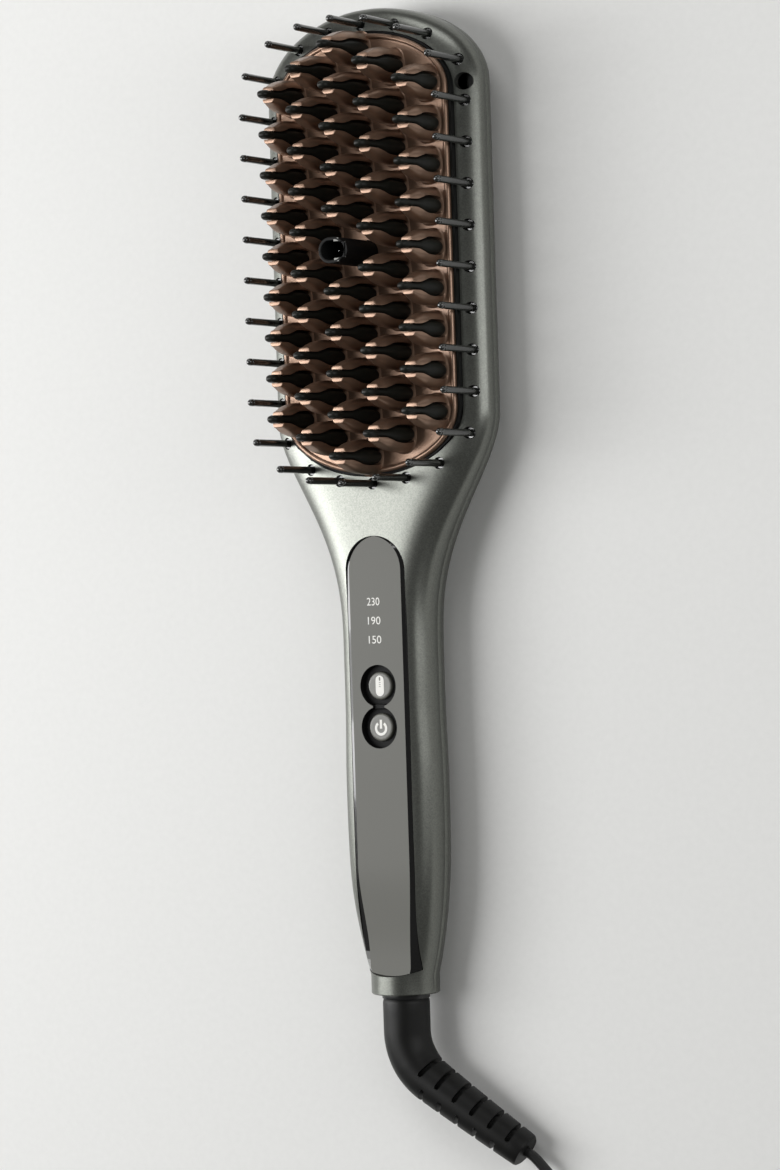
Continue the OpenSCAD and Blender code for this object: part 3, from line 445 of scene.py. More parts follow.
# %% The cord's route
PART_Z = 10                                # height of the parting line
BOOT_STRAIGHT, BOOT_BEND_R, BOOT_TURN, BOOT_RUN = 9.5, 17.5, 56, 34.5
BOOT_D, BOOT_END_D, RING_H = 13.7, 10.4, 1.5
BOOT_DROP = PART_Z - BOOT_END_D / 2 - 0.2
BOOT_BEND_L = BOOT_BEND_R * math.radians(BOOT_TURN)
BOOT_L = BOOT_STRAIGHT + BOOT_BEND_L + BOOT_RUN
CORD_D, COIL_X, COIL_Y, COIL_Z = 3, 25, -102, 2.4
CORD_SLIM = 0.02                           # keeps the drawn cord inside its solid
COIL_R, COIL_PITCH, COIL_LAYERS, COIL_TURNS = 24.4, 3.55, 4, 3.5
PLUG_X, PLUG_Y, PLUG_Z, PLUG_L = 2, -138, 6.85, 36
PLUG_REAR_Z = PLUG_Z - 0.6                 # the cord enters a little below the plug's middle


def boot_point(s):
    bend = min(math.radians(BOOT_TURN), max(0, s - BOOT_STRAIGHT) / BOOT_BEND_R)
    rest = max(0, s - BOOT_STRAIGHT - BOOT_BEND_L)
    x = BOOT_BEND_R * (1 - math.cos(bend)) + rest * math.sin(bend)
    y = -min(s, BOOT_STRAIGHT) - BOOT_BEND_R * math.sin(bend) - rest * math.cos(bend)
    drop = clamp01((s - BOOT_STRAIGHT) / (BOOT_L - BOOT_STRAIGHT))
    return Vector((x, y - RING_H, PART_Z - BOOT_DROP * power(drop, 1.6)))


def coil_point(t):
    turns = COIL_LAYERS * COIL_TURNS
    share = min(t, turns - 0.0001) / COIL_TURNS
    fold = share % 1 if int(share) % 2 == 0 else 1 - share % 1
    radius = COIL_R - COIL_PITCH * COIL_TURNS * fold
    climbed = sum(smooth((t - k * COIL_TURNS + 0.25) / 0.5) for k in range(1, COIL_LAYERS))
    a = 2 * math.pi * t
    return Vector((COIL_X + radius * math.cos(a), COIL_Y - radius * math.sin(a),
                   COIL_Z + COIL_PITCH * climbed))


def smooth_path(points, steps):
    """A smooth path through the points; its first and last stretch stay straight."""
    p = [Vector(q) for q in points]
    path = [p[0]]
    for a, b, c, d in zip(p, p[1:], p[2:], p[3:]):
        for k in range(steps):
            t = k / steps
            path.append(0.5 * (2 * b + (c - a) * t + (2 * a - 5 * b + 4 * c - d) * t * t
                               + (3 * b - a - 3 * c + d) * t ** 3))
    return path + p[-2:]


boot_end = boot_point(BOOT_L)
boot_aim = (boot_end - boot_point(BOOT_L - BOOT_RUN / 4)).normalized()
along = Vector((0, CORD_D, 0))
coil_turns = COIL_LAYERS * COIL_TURNS
coil_in, coil_out = coil_point(0) + along, coil_point(coil_turns) - along
cord_start = boot_point(BOOT_L - 2 * CORD_D)
cord_in = smooth_path([cord_start, boot_end, boot_end + CORD_D * boot_aim, (42.5, -50.5, 4.2),
                       (46.3, -55, 3.4), (48.4, -61, 2.8), (49.2, -68, 2.5), (49.4, -78, 2.4),
                       (49.4, -88, 2.4), coil_in + along, coil_in], 4)
STEPS_PER_TURN = 40
coil = [coil_point(i / STEPS_PER_TURN) for i in range(int(coil_turns * STEPS_PER_TURN) + 1)]
cord_out = smooth_path([coil_out, coil_out - along, (49.3, -113, 12.2), (48.2, -120, 10.6),
                        (45.5, -126.5, 8), (41, -132, 5.2), (35.5, -136, 2.9), (29, -138, 1.7),
                        (22, -138, 1.8), (15, -138, 3.2), (9, -138, 5.3),
                        (PLUG_X + CORD_D, PLUG_Y, PLUG_REAR_Z), (PLUG_X, PLUG_Y, PLUG_REAR_Z)], 4)
route = [place(p) for p in cord_in + coil + cord_out]
cord_length = sum((b - a).length for a, b in zip(route, route[1:]))
print("cord length", round(cord_length, 3), "m through", len(route), "points")


# %% The cord's curve
def cord_curve(name, path, diameter_mm, material):
    data = bpy.data.curves.new(name, "CURVE")
    data.dimensions = "3D"
    data.bevel_depth = diameter_mm / 2 * MM
    data.bevel_resolution = 3
    data.use_fill_caps = True
    line = data.splines.new("POLY")
    line.points.add(len(path) - 1)
    for spot, point in zip(line.points, path):
        spot.co = (*point, 1)
    data.materials.append(material)
    return linked(name, data)


cord = cord_curve("mains_cord", route, CORD_D - CORD_SLIM, CORD_PVC)
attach(cord, "swivel")
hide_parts("cord", "cord_coil")


# %% [markdown]
# ## The skins of the shells
# Front and back shell meet on a parting line and share their width: a round collar, a slender
# oval handle, a neck that flares, and a broad head with a round end. Every cross-section is a
# half of a superellipse, whose power says how boxy it is, so one rule gives the whole form.

# %% Sizes of the shells
BODY_L, HEAD_W, HANDLE_W, COLLAR_R, COLLAR_L = 286, 74, 31, 10, 5.5
FRONT_H, HANDLE_CROWN, HANDLE_DEPTH, HEAD_DEPTH, WALL = 9, 1.2, 8.8, 10.3, 2
NECK_START, NECK_END, HEAD_ROUND, BELLY_Y, WAIST, PANEL_END = 100, 168, 24, 62, 0.5, 133
HEAD_ARC_Y = BODY_L - HEAD_ROUND
CREST_Z, PANEL_Z, PLATE_Z = 19, 19.8, 19.5
PLATE_UNDER = 17
PLATE_Y = NECK_END + 46.5


def end_cut(y, inset, e):
    u = clamp01((y - HEAD_ARC_Y) / (HEAD_ROUND - inset))
    return power(1 - u ** e, 1 / e)


def handle_half(y):
    rise = 1 - (1 - clamp01((y - COLLAR_L) / (BELLY_Y - COLLAR_L))) ** 3
    return lerp(COLLAR_R, HANDLE_W / 2, rise) - WAIST * smooth((y - BELLY_Y) / 22)


def skin_w(y, inset):
    neck = smooth(clamp01((y - NECK_START) / (NECK_END - NECK_START)) ** 1.45)
    return (lerp(handle_half(y), HEAD_W / 2, neck) - inset) * end_cut(y, inset, 2)


def front_rise(y, inset):
    crown = HANDLE_CROWN * (1 - smooth((y - PANEL_END + 15) / 50))
    return (lerp(COLLAR_R, FRONT_H + crown, smooth((y - COLLAR_L) / 34)) - inset) * end_cut(y, inset, 5)


def rear_rise(y, inset):
    handle = lerp(COLLAR_R, HANDLE_DEPTH, smooth((y - COLLAR_L) / 24))
    return (lerp(handle, HEAD_DEPTH, smooth((y - NECK_START) / 56)) - inset) * end_cut(y, inset, 4)


def front_power(y):
    return lerp(2, 3.1, smooth((y - COLLAR_L) / 30))


def rear_power(y):
    return lerp(2, 2.6, smooth((y - COLLAR_L) / 30))


def front_skin_z(x, y):
    e = front_power(y)
    return PART_Z + front_rise(y, 0) * power(1 - power(abs(x) / skin_w(y, 0), e), 1 / e)


# %% Half shells
COLUMNS = 64
LAST_TURN = math.radians(87.2)             # the skins stop just short of the very tip
GROOVE = 0.28                              # half the width of the joint line between the shells
BORE_R, BORE_L = 5.3, 3                    # the swivel's bore in the collar


def stations(inset):
    handle = [COLLAR_L + (NECK_START - COLLAR_L) * (i / 34) for i in range(1, 35)]
    neck = [lerp(NECK_START, NECK_END, i / 36) for i in range(1, 37)]
    head = [lerp(NECK_END, HEAD_ARC_Y, i / 20) for i in range(1, 21)]
    end = [HEAD_ARC_Y + (HEAD_ROUND - inset) * math.sin(LAST_TURN * i / 22) for i in range(1, 23)]
    return [COLLAR_L] + handle + neck + head + end


def half_ring(y, w, h, e, up, groove=0.0):
    ring = []
    for i in range(COLUMNS + 1):
        x, z = superellipse(w, h, math.pi * i / COLUMNS, e)
        ring.append([x, y, PART_Z + up * z])
    if groove:
        for spot, next_spot in ((ring[0], ring[1]), (ring[-1], ring[-2])):
            next_spot[2] = PART_Z + up * max(abs(next_spot[2] - PART_Z), groove)
            spot[0] -= math.copysign(min(groove, abs(spot[0]) / 2), spot[0])
    return ring


def half_shell(name, rise, shape, up, material):
    outer = [half_ring(0, COLLAR_R - 0.35, COLLAR_R - 0.35, 2, up, GROOVE),
             half_ring(0.35, COLLAR_R, COLLAR_R, 2, up, GROOVE)]
    outer += [half_ring(y, skin_w(y, 0), rise(y, 0), shape(y), up, GROOVE) for y in stations(0)]
    inner = [half_ring(y, r, r, 2, up) for y, r in ((0, BORE_R), (BORE_L, BORE_R),
                                                   (BORE_L, COLLAR_R - WALL))]
    inner += [half_ring(y, skin_w(y, WALL), rise(y, WALL), shape(y), up) for y in stations(WALL)]
    rows, n = outer[::-1] + inner, COLUMNS + 1
    points = [p for row in rows for p in row]
    faces = [(j * n + i, j * n + i + 1, (j + 1) * n + i + 1, (j + 1) * n + i)
             for j in range(len(rows) - 1) for i in range(n - 1)]
    faces += [tuple(range(n)), tuple(range(len(points) - n, len(points)))]
    count, m = len(rows), len(outer)
    pairs = [(m - 1 - k, m + 1 + k) for k in range(m)]
    for side in (0, n - 1):
        chain = [(o, min(i, count - 1)) for o, i in pairs]
        faces.append((side + (m - 1) * n, side + m * n, side + (m + 1) * n))
        for (o1, i1), (o2, i2) in zip(chain, chain[1:]):
            face = [side + o1 * n, side + o2 * n, side + i2 * n, side + i1 * n]
            faces.append(tuple(dict.fromkeys(face)))
    return mesh_object(name, points, faces, material)


front = half_shell("front_shell_skin", front_rise, front_power, 1, PAINT)
rear = half_shell("rear_shell_skin", rear_rise, rear_power, -1, PAINT)
for half in (front, rear):
    check = bmesh.new()
    check.from_mesh(half.data)
    print(half.name, len(check.faces), "faces,", sum(not e.is_manifold for e in check.edges), "open edges,",
          round(check.calc_volume() / MM ** 3), "mm3")
    check.free()


# %% [markdown]
# ## Cutters
# Openings are cut the way a tool would: a closed cutter of the opening's shape is taken out of
# the piece. Oval, round and obround prisms cover most of them.

# %% Cutters
def prism(name, outline, z0, z1, material=None):
    n = len(outline)
    points = [(x, y, z) for z in (z0, z1) for x, y in outline]
    faces = [tuple(range(n))[::-1], tuple(range(n, 2 * n))]
    faces += [(i, (i + 1) % n, n + (i + 1) % n, n + i) for i in range(n)]
    return mesh_object(name, points, faces, material)


def rectangle(x0, x1, y0, y1):
    return [(x0, y0), (x1, y0), (x1, y1), (x0, y1)]


def circle(x, y, r, steps=32):
    return [(x + r * math.cos(2 * math.pi * k / steps), y + r * math.sin(2 * math.pi * k / steps))
            for k in range(steps)]


def oval(w, length, end, steps=32):
    """Straight sides and ends that are half ellipses, round the middle of the head."""
    half = [math.pi * k / steps for k in range(steps + 1)]
    top = [(w / 2 * math.cos(a), PLATE_Y + length / 2 - end + end * math.sin(a)) for a in half]
    return top + [(-x, 2 * PLATE_Y - y) for x, y in top]


def obround(w, length, y, steps=20):
    r = length / 2
    side = [math.pi * (k / steps - 0.5) for k in range(steps + 1)]
    right = [((w / 2 - r) + r * math.cos(a), y + r * math.sin(a)) for a in side]
    return right + [(-x, 2 * y - v) for x, v in right]


PLATE_W, PLATE_L, PLATE_ROUND, PLATE_GAP = 58.8, 127, 18, 0.9
PIN_X, PIN_PITCH, PIN_RING_L, PIN_RING_END = 33.1, 11.86, 132.8, 19.2
PIN_HOLE_D, PIN_RING_TOP = 3.5, 12.4
END_PIN_X = (0, 11.4, 22.1, 31.4)          # across the brush, round both ends of the head
pin_spots = [(s * PIN_X, PLATE_Y + (3.5 - k) * PIN_PITCH) for k in range(8) for s in (-1, 1)]
for x in END_PIN_X:
    reach = PIN_RING_L / 2 - PIN_RING_END + PIN_RING_END * math.sqrt(1 - (x / PIN_X) ** 2)
    pin_spots += [(s * x, PLATE_Y + e * reach) for s in ((1,) if x == 0 else (-1, 1)) for e in (-1, 1)]
print(len(pin_spots), "outer pins")


# %% Cuts in the front shell
FIT, PANEL_W, PANEL_BORDER = 0.15, 20, 1.15
POWER_Y, BUTTON_GAP, BUTTON_D, BUTTON_SINK = 77.6, 12, 8.1, 0.9
PANEL_UNDER, RECESS_DEPTH, RECESS_D = PANEL_Z - 3.4, 2, BUTTON_GAP + 0.2
FOOT_SINK, FOOT_NARROW, FOOT_BORDER = 2, 0.8, 1.15
FOOT_Y, FOOT_RISE, FOOT_REACH = 5.6, 1.9, 17   # middle of the foot, its arc's rise, the cutter's half width


def foot_mix(y):
    """Grows from 0 to 1 where the panel dips and narrows towards its foot."""
    return smooth((38 - y) / 28)


def panel_half(y):
    r = PANEL_W / 2
    top = PANEL_END - r
    if y > top:
        return r * math.sqrt(max(0, 1 - ((y - top) / r) ** 2))
    return min(r, handle_half(y) - 0.7) - FOOT_NARROW * foot_mix(y)


def panel_floor(y):
    return lerp(PART_Z + 2.6, PANEL_UNDER, smooth((y - 34) / 20))


def panel_stations():
    top = PANEL_END - PANEL_W / 2
    end = [top + PANEL_W / 2 * math.sin(math.radians(88.5) * i / 30) for i in range(1, 31)]
    return [lerp(3, top, i / 50) for i in range(51)] + end


def foot_cutter(name, gap):
    """What lies below the arc of the panel's foot."""
    half = panel_half(12)
    r = (half * half + FOOT_RISE * FOOT_RISE) / (2 * FOOT_RISE)
    xs = [lerp(FOOT_REACH, -FOOT_REACH, k / 40) for k in range(41)]
    arc = [(x, FOOT_Y - gap + r - math.sqrt(r * r - x * x)) for x in xs]
    return prism(name, [(-FOOT_REACH, -4), (FOOT_REACH, -4)] + arc, PART_Z - 2, CREST_Z + 6)


def panel_opening():
    rows = []
    for y in panel_stations():
        w, low = panel_half(y) + FIT, panel_floor(y) - FIT
        rows.append([(w, y, low), (w, y, CREST_Z + 3), (-w, y, CREST_Z + 3), (-w, y, low)])
    return cut(mesh_object("panel_opening", *loft(rows)), [foot_cutter("foot", FIT)])


RIM_PORT, RIM_PORT_R = (PIN_X, PLATE_Y + 46.9), 2.5
openings = [prism("head_opening", oval(PLATE_W + 2 * PLATE_GAP, PLATE_L + 2 * PLATE_GAP,
                                       PLATE_ROUND + PLATE_GAP), PART_Z - 1, CREST_Z + 4),
            prism("rim_port", circle(*RIM_PORT, RIM_PORT_R), PART_Z - 1, CREST_Z + 4), panel_opening()]
openings += [prism(f"pin_hole_{i}", circle(x, y, PIN_HOLE_D / 2, 24), PIN_RING_TOP, CREST_Z + 4)
             for i, (x, y) in enumerate(pin_spots)]
cut(front, openings)
settle(front, "root", "champagne_shell", "front_shell")


# %% Cuts in the rear shell
SCREW_SEAT, SCREW_HEAD_R = 5, 2.1
TOWER_R, TOWER_LOW, TOWER_HIGH = 3, 1.2, 9.4   # the screw towers inside the shell
shell_screw_spots = [(sx * 24, PLATE_Y + sy * 39.5) for sx in (-1, 1) for sy in (-1, 1)]
shell_screw_spots += [(0, 58), (0, NECK_START + 42)]


combine(rear, [prism(f"tower_{i}", circle(x, y, TOWER_R, 32), TOWER_LOW, TOWER_HIGH)
               for i, (x, y) in enumerate(shell_screw_spots)], "UNION")
table = prism("table", rectangle(-60, 60, -10, BODY_L + 10), -8, 0)
bores = [prism(f"bore_{i}", circle(x, y, SCREW_HEAD_R + 0.2, 32), -1, SCREW_SEAT)
         for i, (x, y) in enumerate(shell_screw_spots)]
cut(rear, [table] + bores)
settle(rear, "root", "champagne_shell", "rear_shell")


# %% [markdown]
# ## The heater plate
# The plate is a die casting: a flat oval with a rounded bead at its edge, and a field of teeth
# that flow out of it. The plate is a lathe-like sweep round an oval, so that the bead gets its
# own smooth profile. The hole in the middle lets the ion tower through.

# %% The plate and its bead
BEAD_W, BEAD_H = 1.6, 0.6
CASTING_SHARP = math.radians(50)           # the bead stays smooth, the plate's edge crisp


def plate_ring(inset, z):
    return [(x, y, z) for x, y in oval(PLATE_W - 2 * inset, PLATE_L - 2 * inset, PLATE_ROUND - inset)]


def heater_plate():
    steps = [math.radians(a) for a in (0, 30, 60, 90, 120, 150, 180)]
    bead = [(BEAD_W / 2 * (1 - math.cos(a)), PLATE_Z + BEAD_H * math.sin(a)) for a in steps]
    profile = [(0, PLATE_UNDER), (0, PLATE_Z - 0.1)] + bead + [(BEAD_W + 0.35, PLATE_Z - 0.03),
                                                                (BEAD_W + 0.7, PLATE_Z)]
    points, faces = loft([plate_ring(inset, z) for inset, z in profile])
    plate = mesh_object("plate", points, faces, COPPER, CASTING_SHARP)
    hole = prism("nozzle_hole", obround(9.3, 7.8, PLATE_Y), PLATE_UNDER - 1, PLATE_Z + 2)
    return cut(plate, [hole], CASTING_SHARP)


plate = heater_plate()
print("plate:", len(plate.data.polygons), "faces")


# %% [markdown]
# ## Teeth
# A tooth is a steep cone, long along the brush and narrower across it, cut by a slot with the
# outline of a bottle. That leaves two lips, and the black tip fills the slot. Its sections are
# superellipses whose half sizes follow two curves, and a flared foot blends into the plate.

# %% One tooth
TOOTH_H, RISE_INNER, RISE_MIDDLE, TIP_H = 13.5, 2.5, 3, 4
COLUMN_PITCH, TOOTH_PITCH = 11.5, 11.75
FOOT_L, FOOT_W, TOP_L, TOP_W, NECK_T, TIP_BODY_T, SLOT_FIT = 10.3, 7.6, 4.8, 4, 2.1, 5.1, 0.08
CROWN_R, TIP_INSET = 0.22, 0.15            # the lips' rounded top, and the tip inside them
# half sizes from the foot to the top, as (share of the height, share of the flare)
SIDE = [(0, 1), (0.12, 1), (0.25, 0.985), (0.37, 0.96), (0.48, 0.9), (0.58, 0.8), (0.66, 0.69),
        (0.74, 0.54), (0.82, 0.37), (0.89, 0.19), (0.94, 0.08), (1, 0)]
FRONT = [(0, 1), (0.15, 0.95), (0.3, 0.89), (0.45, 0.79), (0.6, 0.66), (0.72, 0.48), (0.82, 0.3),
         (0.91, 0.12), (1, 0)]


def along_curve(curve, t):
    """The curve's value at a share t, with straight runs between its points."""
    for (t0, v0), (t1, v1) in zip(curve, curve[1:]):
        if t <= t1:
            return lerp(v0, v1, (t - t0) / (t1 - t0))
    return curve[-1][1]


def section(a, b, z, e=2.5, steps=44):
    """A superellipse with half sizes a across and b along the brush."""
    return [(*superellipse(a, b, 2 * math.pi * (k + 0.5) / steps, e), z) for k in range(steps)]


def tooth_size(t):
    return (lerp(TOP_W, FOOT_W, along_curve(FRONT, t)) / 2, lerp(TOP_L, FOOT_L, along_curve(SIDE, t)) / 2)


def squareness(t):
    """The sections' power: rounder at the foot and nearly square at the top."""
    return lerp(2.4, 4.5, smooth((t - 0.45) / 0.5))


def bottle_half(h, gap):
    """Half of the slot's outline, from the foot to the neck, as (half width, height)."""
    body, neck = TIP_BODY_T / 2 + gap, NECK_T / 2 + gap
    rough = [(0.5, 0.08), (body * 0.72, 0.35), (body * 0.92, 0.08 * h), (body, 0.24 * h),
             (body * 0.98, 0.42 * h), (body * 0.88, 0.54 * h), (body * 0.72, 0.63 * h),
             (neck * 1.35, 0.71 * h), (neck * 1.06, 0.79 * h), (neck, 0.86 * h), (neck, 0.93 * h),
             (neck, h), (neck, h + 1)]
    return [(p.x, p.y) for p in smooth_path([Vector((a, b, 0)) for a, b in rough], 3)]


def tooth_unit(name, h):
    a, b = FOOT_W / 2, FOOT_L / 2
    rings = [section(a + 0.7, b + 0.6, -0.4), section(a + 0.7, b + 0.6, -0.05),
             section(a + 0.34, b + 0.3, 0.06), section(a + 0.1, b + 0.08, 0.3)]
    rings += [section(*tooth_size(t), t * (h - CROWN_R), squareness(t))
              for t in (i / 14 for i in range(1, 15))]
    for turn in (math.radians(d) for d in (30, 60, 86)):
        shrink = CROWN_R * (1 - math.cos(turn))
        rings.append(section(TOP_W / 2 - shrink, TOP_L / 2 - shrink,
                             h - CROWN_R * (1 - math.sin(turn)), squareness(1)))
    tooth = mesh_object(name, *loft(rings), COPPER)
    half = bottle_half(h, SLOT_FIT)
    outline = half + [(-a, b) for a, b in half[::-1]]
    n = len(outline)
    ends = [(x, y, z) for x in (-8, 8) for y, z in outline]
    sides = [tuple(range(n)), tuple(range(2 * n - 1, n - 1, -1))]
    sides += [(i, n + i, n + (i + 1) % n, (i + 1) % n) for i in range(n)]
    cut(tooth, [mesh_object("slot", ends, sides)])
    soften(tooth, 0.12, 50, 2)
    tooth.data.shade_smooth()
    tooth.data.set_sharp_from_angle(angle=math.radians(46))
    return tooth


tooth_heights = {2: TOOTH_H, 1: TOOTH_H + RISE_INNER, 0: TOOTH_H + RISE_MIDDLE}
tooth_units = {column: tooth_unit(f"tooth_{column}", h) for column, h in tooth_heights.items()}
print("one tooth:", len(tooth_units[0].data.polygons), "faces")


# %% [markdown]
# ## Cool tips
# The black tip keeps the hot tooth off the scalp. It is a bulb between the lips, a neck, and a
# blunt head that rises past them. It is lofted from the same kind of section as the tooth, as
# wide as the slot at each height, so that it bulges a little out of the slot at both ends.

# %% One cool tip
def tip_unit(name, h):
    rings = [section(FOOT_W / 2 - 0.8, 0.3, 0.12, 2.4)]
    for half, z in bottle_half(h, 0):
        if 0.15 < z < h:
            proud = 0.12 * smooth((0.6 - z / h) / 0.2)
            rings.append(section(tooth_size(z / h)[0] - TIP_INSET + proud, half, z, 2.6))
    neck = NECK_T / 2
    for share, grow in ((0.02, 0), (0.1, 0.05), (0.2, 0.12), (0.34, 0.16), (0.5, 0.16)):
        rings.append(section(TOP_W / 2 - TIP_INSET, neck + grow, h + share * TIP_H, 2.8))
    for turn in (math.radians(d) for d in (20, 38, 54, 68, 80, 87)):
        shrink = math.cos(turn) ** 0.8
        rings.append(section((TOP_W / 2 - TIP_INSET) * shrink, (neck + 0.16) * shrink,
                             h + TIP_H * (0.5 + 0.5 * math.sin(turn)), 2.5))
    return mesh_object(name, *loft(rings), TIP_NYLON, math.radians(48))


tip_units = {column: tip_unit(f"tip_{column}", h) for column, h in tooth_heights.items()}
print("one tip:", len(tip_units[0].data.polygons), "faces")


# %% Columns of teeth and tips
def new_tree(name, **inputs):
    """A Geometry Nodes tree with these named inputs, and the sockets that they come from."""
    tree = bpy.data.node_groups.new(name, "GeometryNodeTree")
    tree.interface.new_socket("Geometry", in_out="OUTPUT", socket_type="NodeSocketGeometry")
    for key, kind in inputs.items():
        tree.interface.new_socket(key, in_out="INPUT", socket_type="NodeSocket" + kind)
    return tree, add(tree, "NodeGroupInput").outputs


def close_tree(tree, geometry, material):
    """Makes the copies real, gives them their material and hands them out of the tree."""
    real = add(tree, "GeometryNodeRealizeInstances", {"Geometry": geometry})
    painted = add(tree, "GeometryNodeSetMaterial", {"Geometry": real.outputs["Geometry"],
                                                    "Material": material})
    add(tree, "NodeGroupOutput", {"Geometry": painted.outputs["Geometry"]})
    return tree


def geometry_of(tree, socket):
    """The geometry of the object that an input names."""
    return add(tree, "GeometryNodeObjectInfo", {"Object": socket}).outputs["Geometry"]


def column_tree():
    """A straight column of one unit: how many, how far apart, and where the first one stands."""
    tree, given = new_tree("column_of_teeth", Count="Int", Pitch="Float", First="Vector", Unit="Object",
                           Finish="Material")
    step = add(tree, "ShaderNodeCombineXYZ", {"Y": given["Pitch"]})
    line = add(tree, "GeometryNodeMeshLine", {"Count": given["Count"], "Start Location": given["First"],
                                              "Offset": step.outputs["Vector"]}, mode="OFFSET")
    copies = add(tree, "GeometryNodeInstanceOnPoints", {"Points": line.outputs["Mesh"],
                                                        "Instance": geometry_of(tree, given["Unit"])})
    return close_tree(tree, copies.outputs["Instances"], given["Finish"])


COLUMN = column_tree()


def grown(name, tree, values):
    """A plain mesh from a Geometry Nodes tree with these inputs."""
    made = linked(name, bpy.data.meshes.new(name))
    step = made.modifiers.new("nodes", "NODES")
    step.node_group = tree
    identifiers = {item.name: item.identifier for item in tree.interface.items_tree
                   if item.item_type == "SOCKET" and item.in_out == "INPUT"}
    for key, value in values.items():
        step[identifiers[key]] = value
    return applied(made)


def columns(units, z, finish_material, name):
    parts = []
    for column in range(-2, 3):
        count = {2: 9, 1: 10, 0: 11}[abs(column)]
        first = PLATE_Y - (count - 1) / 2 * TOOTH_PITCH
        lines = [(first, count)] if column else [(first, 5), (PLATE_Y + TOOTH_PITCH, 5)]
        for start, n in lines:
            unit = units[abs(column)]
            parts.append(grown(f"{name}_{column}_{n}_{round(start)}", COLUMN, {
                "Count": n, "Pitch": TOOTH_PITCH * MM, "Unit": unit, "Finish": finish_material,
                "First": Vector((column * COLUMN_PITCH, start, z)) * MM}))
    for unit in units.values():
        bpy.data.objects.remove(unit)
    return joined(name, parts)


teeth = columns(tooth_units, PLATE_Z, COPPER, "teeth")
tips = columns(tip_units, PLATE_Z + 0.02, TIP_NYLON, "cool_tip_set")
heater = joined("heater_plate_and_teeth", [plate, teeth], CASTING_SHARP)
settle(heater, "root", "copper_coat", "heater_plate")
settle(tips, "root", "black_plastic", "cool_tips")


# %% [markdown]
# ## Outer pins
# Stiff nylon pins comb the hair along the rim. Each one stands in a round recess and ends in a
# small ball. A second tree puts a pin on every spot and a foot under it, down to the ring that
# carries them, whose depth differs with the height of the shell there.

# %% Outer pins
PIN_L, PIN_D = 16.9, 2.1
FOOT_DOWN = 0.9                            # from the shell down to the top of a pin's foot


def pin_unit():
    r = PIN_D / 2
    tip = [(r, PIN_L - 1.55), (r - 0.16, PIN_L - 1.42), (r - 0.16, PIN_L - 1.3), (r, PIN_L - 1.18)]
    tip += [(r * math.cos(a), PIN_L - r + r * math.sin(a)) for a in
            (math.radians(d) for d in (-8, 15, 35, 55, 72))]
    profile = [(0, -1.2), (r, -1.2), (r, 2), (r, 9)] + tip + [(0, PIN_L)]
    return mesh_object("pin", *turned(profile, (0, 0, 0), steps=20), PIN_NYLON, math.radians(40))


def foot_unit():
    r = PIN_HOLE_D / 2 - FIT
    profile = [(0, 0), (r, 0), (r, 0.96), (r - 0.12, 1), (0, 1)]
    return mesh_object("pin_foot", *turned(profile, (0, 0, 0), steps=24), PIN_NYLON)


def pins_tree():
    """Pins on points, with a foot below each that is as deep as the point's own measure."""
    tree, given = new_tree("pins_on_a_ring", Spots="Object", Pin="Object", Foot="Object", Finish="Material")
    spots, pin, foot = (geometry_of(tree, given[key]) for key in ("Spots", "Pin", "Foot"))
    deep = add(tree, "GeometryNodeInputNamedAttribute", {"Name": "foot_depth"}, data_type="FLOAT")
    size = add(tree, "ShaderNodeCombineXYZ", {"X": 1.0, "Y": 1.0, "Z": deep.outputs["Attribute"]})
    drop = add(tree, "ShaderNodeMath", {0: deep.outputs["Attribute"], 1: -MM}, operation="MULTIPLY")
    below = add(tree, "ShaderNodeMath", {0: drop.outputs[0], 1: -FOOT_DOWN * MM}, operation="ADD")
    move = add(tree, "ShaderNodeCombineXYZ", {"Z": below.outputs[0]})
    pins = add(tree, "GeometryNodeInstanceOnPoints", {"Points": spots, "Instance": pin})
    lowered = add(tree, "GeometryNodeSetPosition", {"Geometry": spots, "Offset": move.outputs["Vector"]})
    feet = add(tree, "GeometryNodeInstanceOnPoints", {"Points": lowered.outputs["Geometry"],
                                                      "Instance": foot, "Scale": size.outputs["Vector"]})
    both = add(tree, "GeometryNodeJoinGeometry")
    for part in (pins, feet):
        tree.links.new(part.outputs["Instances"], both.inputs["Geometry"])
    return close_tree(tree, both.outputs["Geometry"], given["Finish"])


def outer_pins():
    rims = [front_skin_z(x, y) for x, y in pin_spots]
    mesh = bpy.data.meshes.new("pin_spots")
    mesh.from_pydata([(x * MM, y * MM, z * MM) for (x, y), z in zip(pin_spots, rims)], [], [])
    depth = mesh.attributes.new("foot_depth", "FLOAT", "POINT")
    for spot, z in zip(depth.data, rims):
        spot.value = z - FOOT_DOWN - PIN_RING_TOP
    spots = linked("pin_spots", mesh)
    units = [pin_unit(), foot_unit()]
    made = grown("outer_pin_set", pins_tree(), {"Spots": spots, "Pin": units[0], "Foot": units[1],
                                                "Finish": PIN_NYLON})
    for unit in [spots] + units:
        bpy.data.objects.remove(unit)
    made.data.set_sharp_from_angle(angle=math.radians(40))
    return made


settle(outer_pins(), "root", "pin_nylon", "outer_pins")


# %% [markdown]
# ## The ion tower
# An oval, matte black tube rises between the middle teeth, with a dark mouth for the ion needle.
# Small pale marks at its rim and along its notch are painted highlights. It is a swept oval, hollow above its
# web.

# %% The ion tower
NOZZLE_W, NOZZLE_L, NOZZLE_TOP = 9, 7.5, PLATE_Z + 17.5
SPREADER_TOP = 14.7                        # the tower's foot stands just above the spreader
# painted highlights, pale marks on the rim and the notch: x, y from the middle, width, length, and depth
# below the top
PAINTED_HIGHLIGHTS = ((0.9, 2.4, 1.6, 0.95, 0), (0.9, -3.35, 1.6, 0.95, 0), (3.55, -2.2, 0.35, 4.4, 1.38))


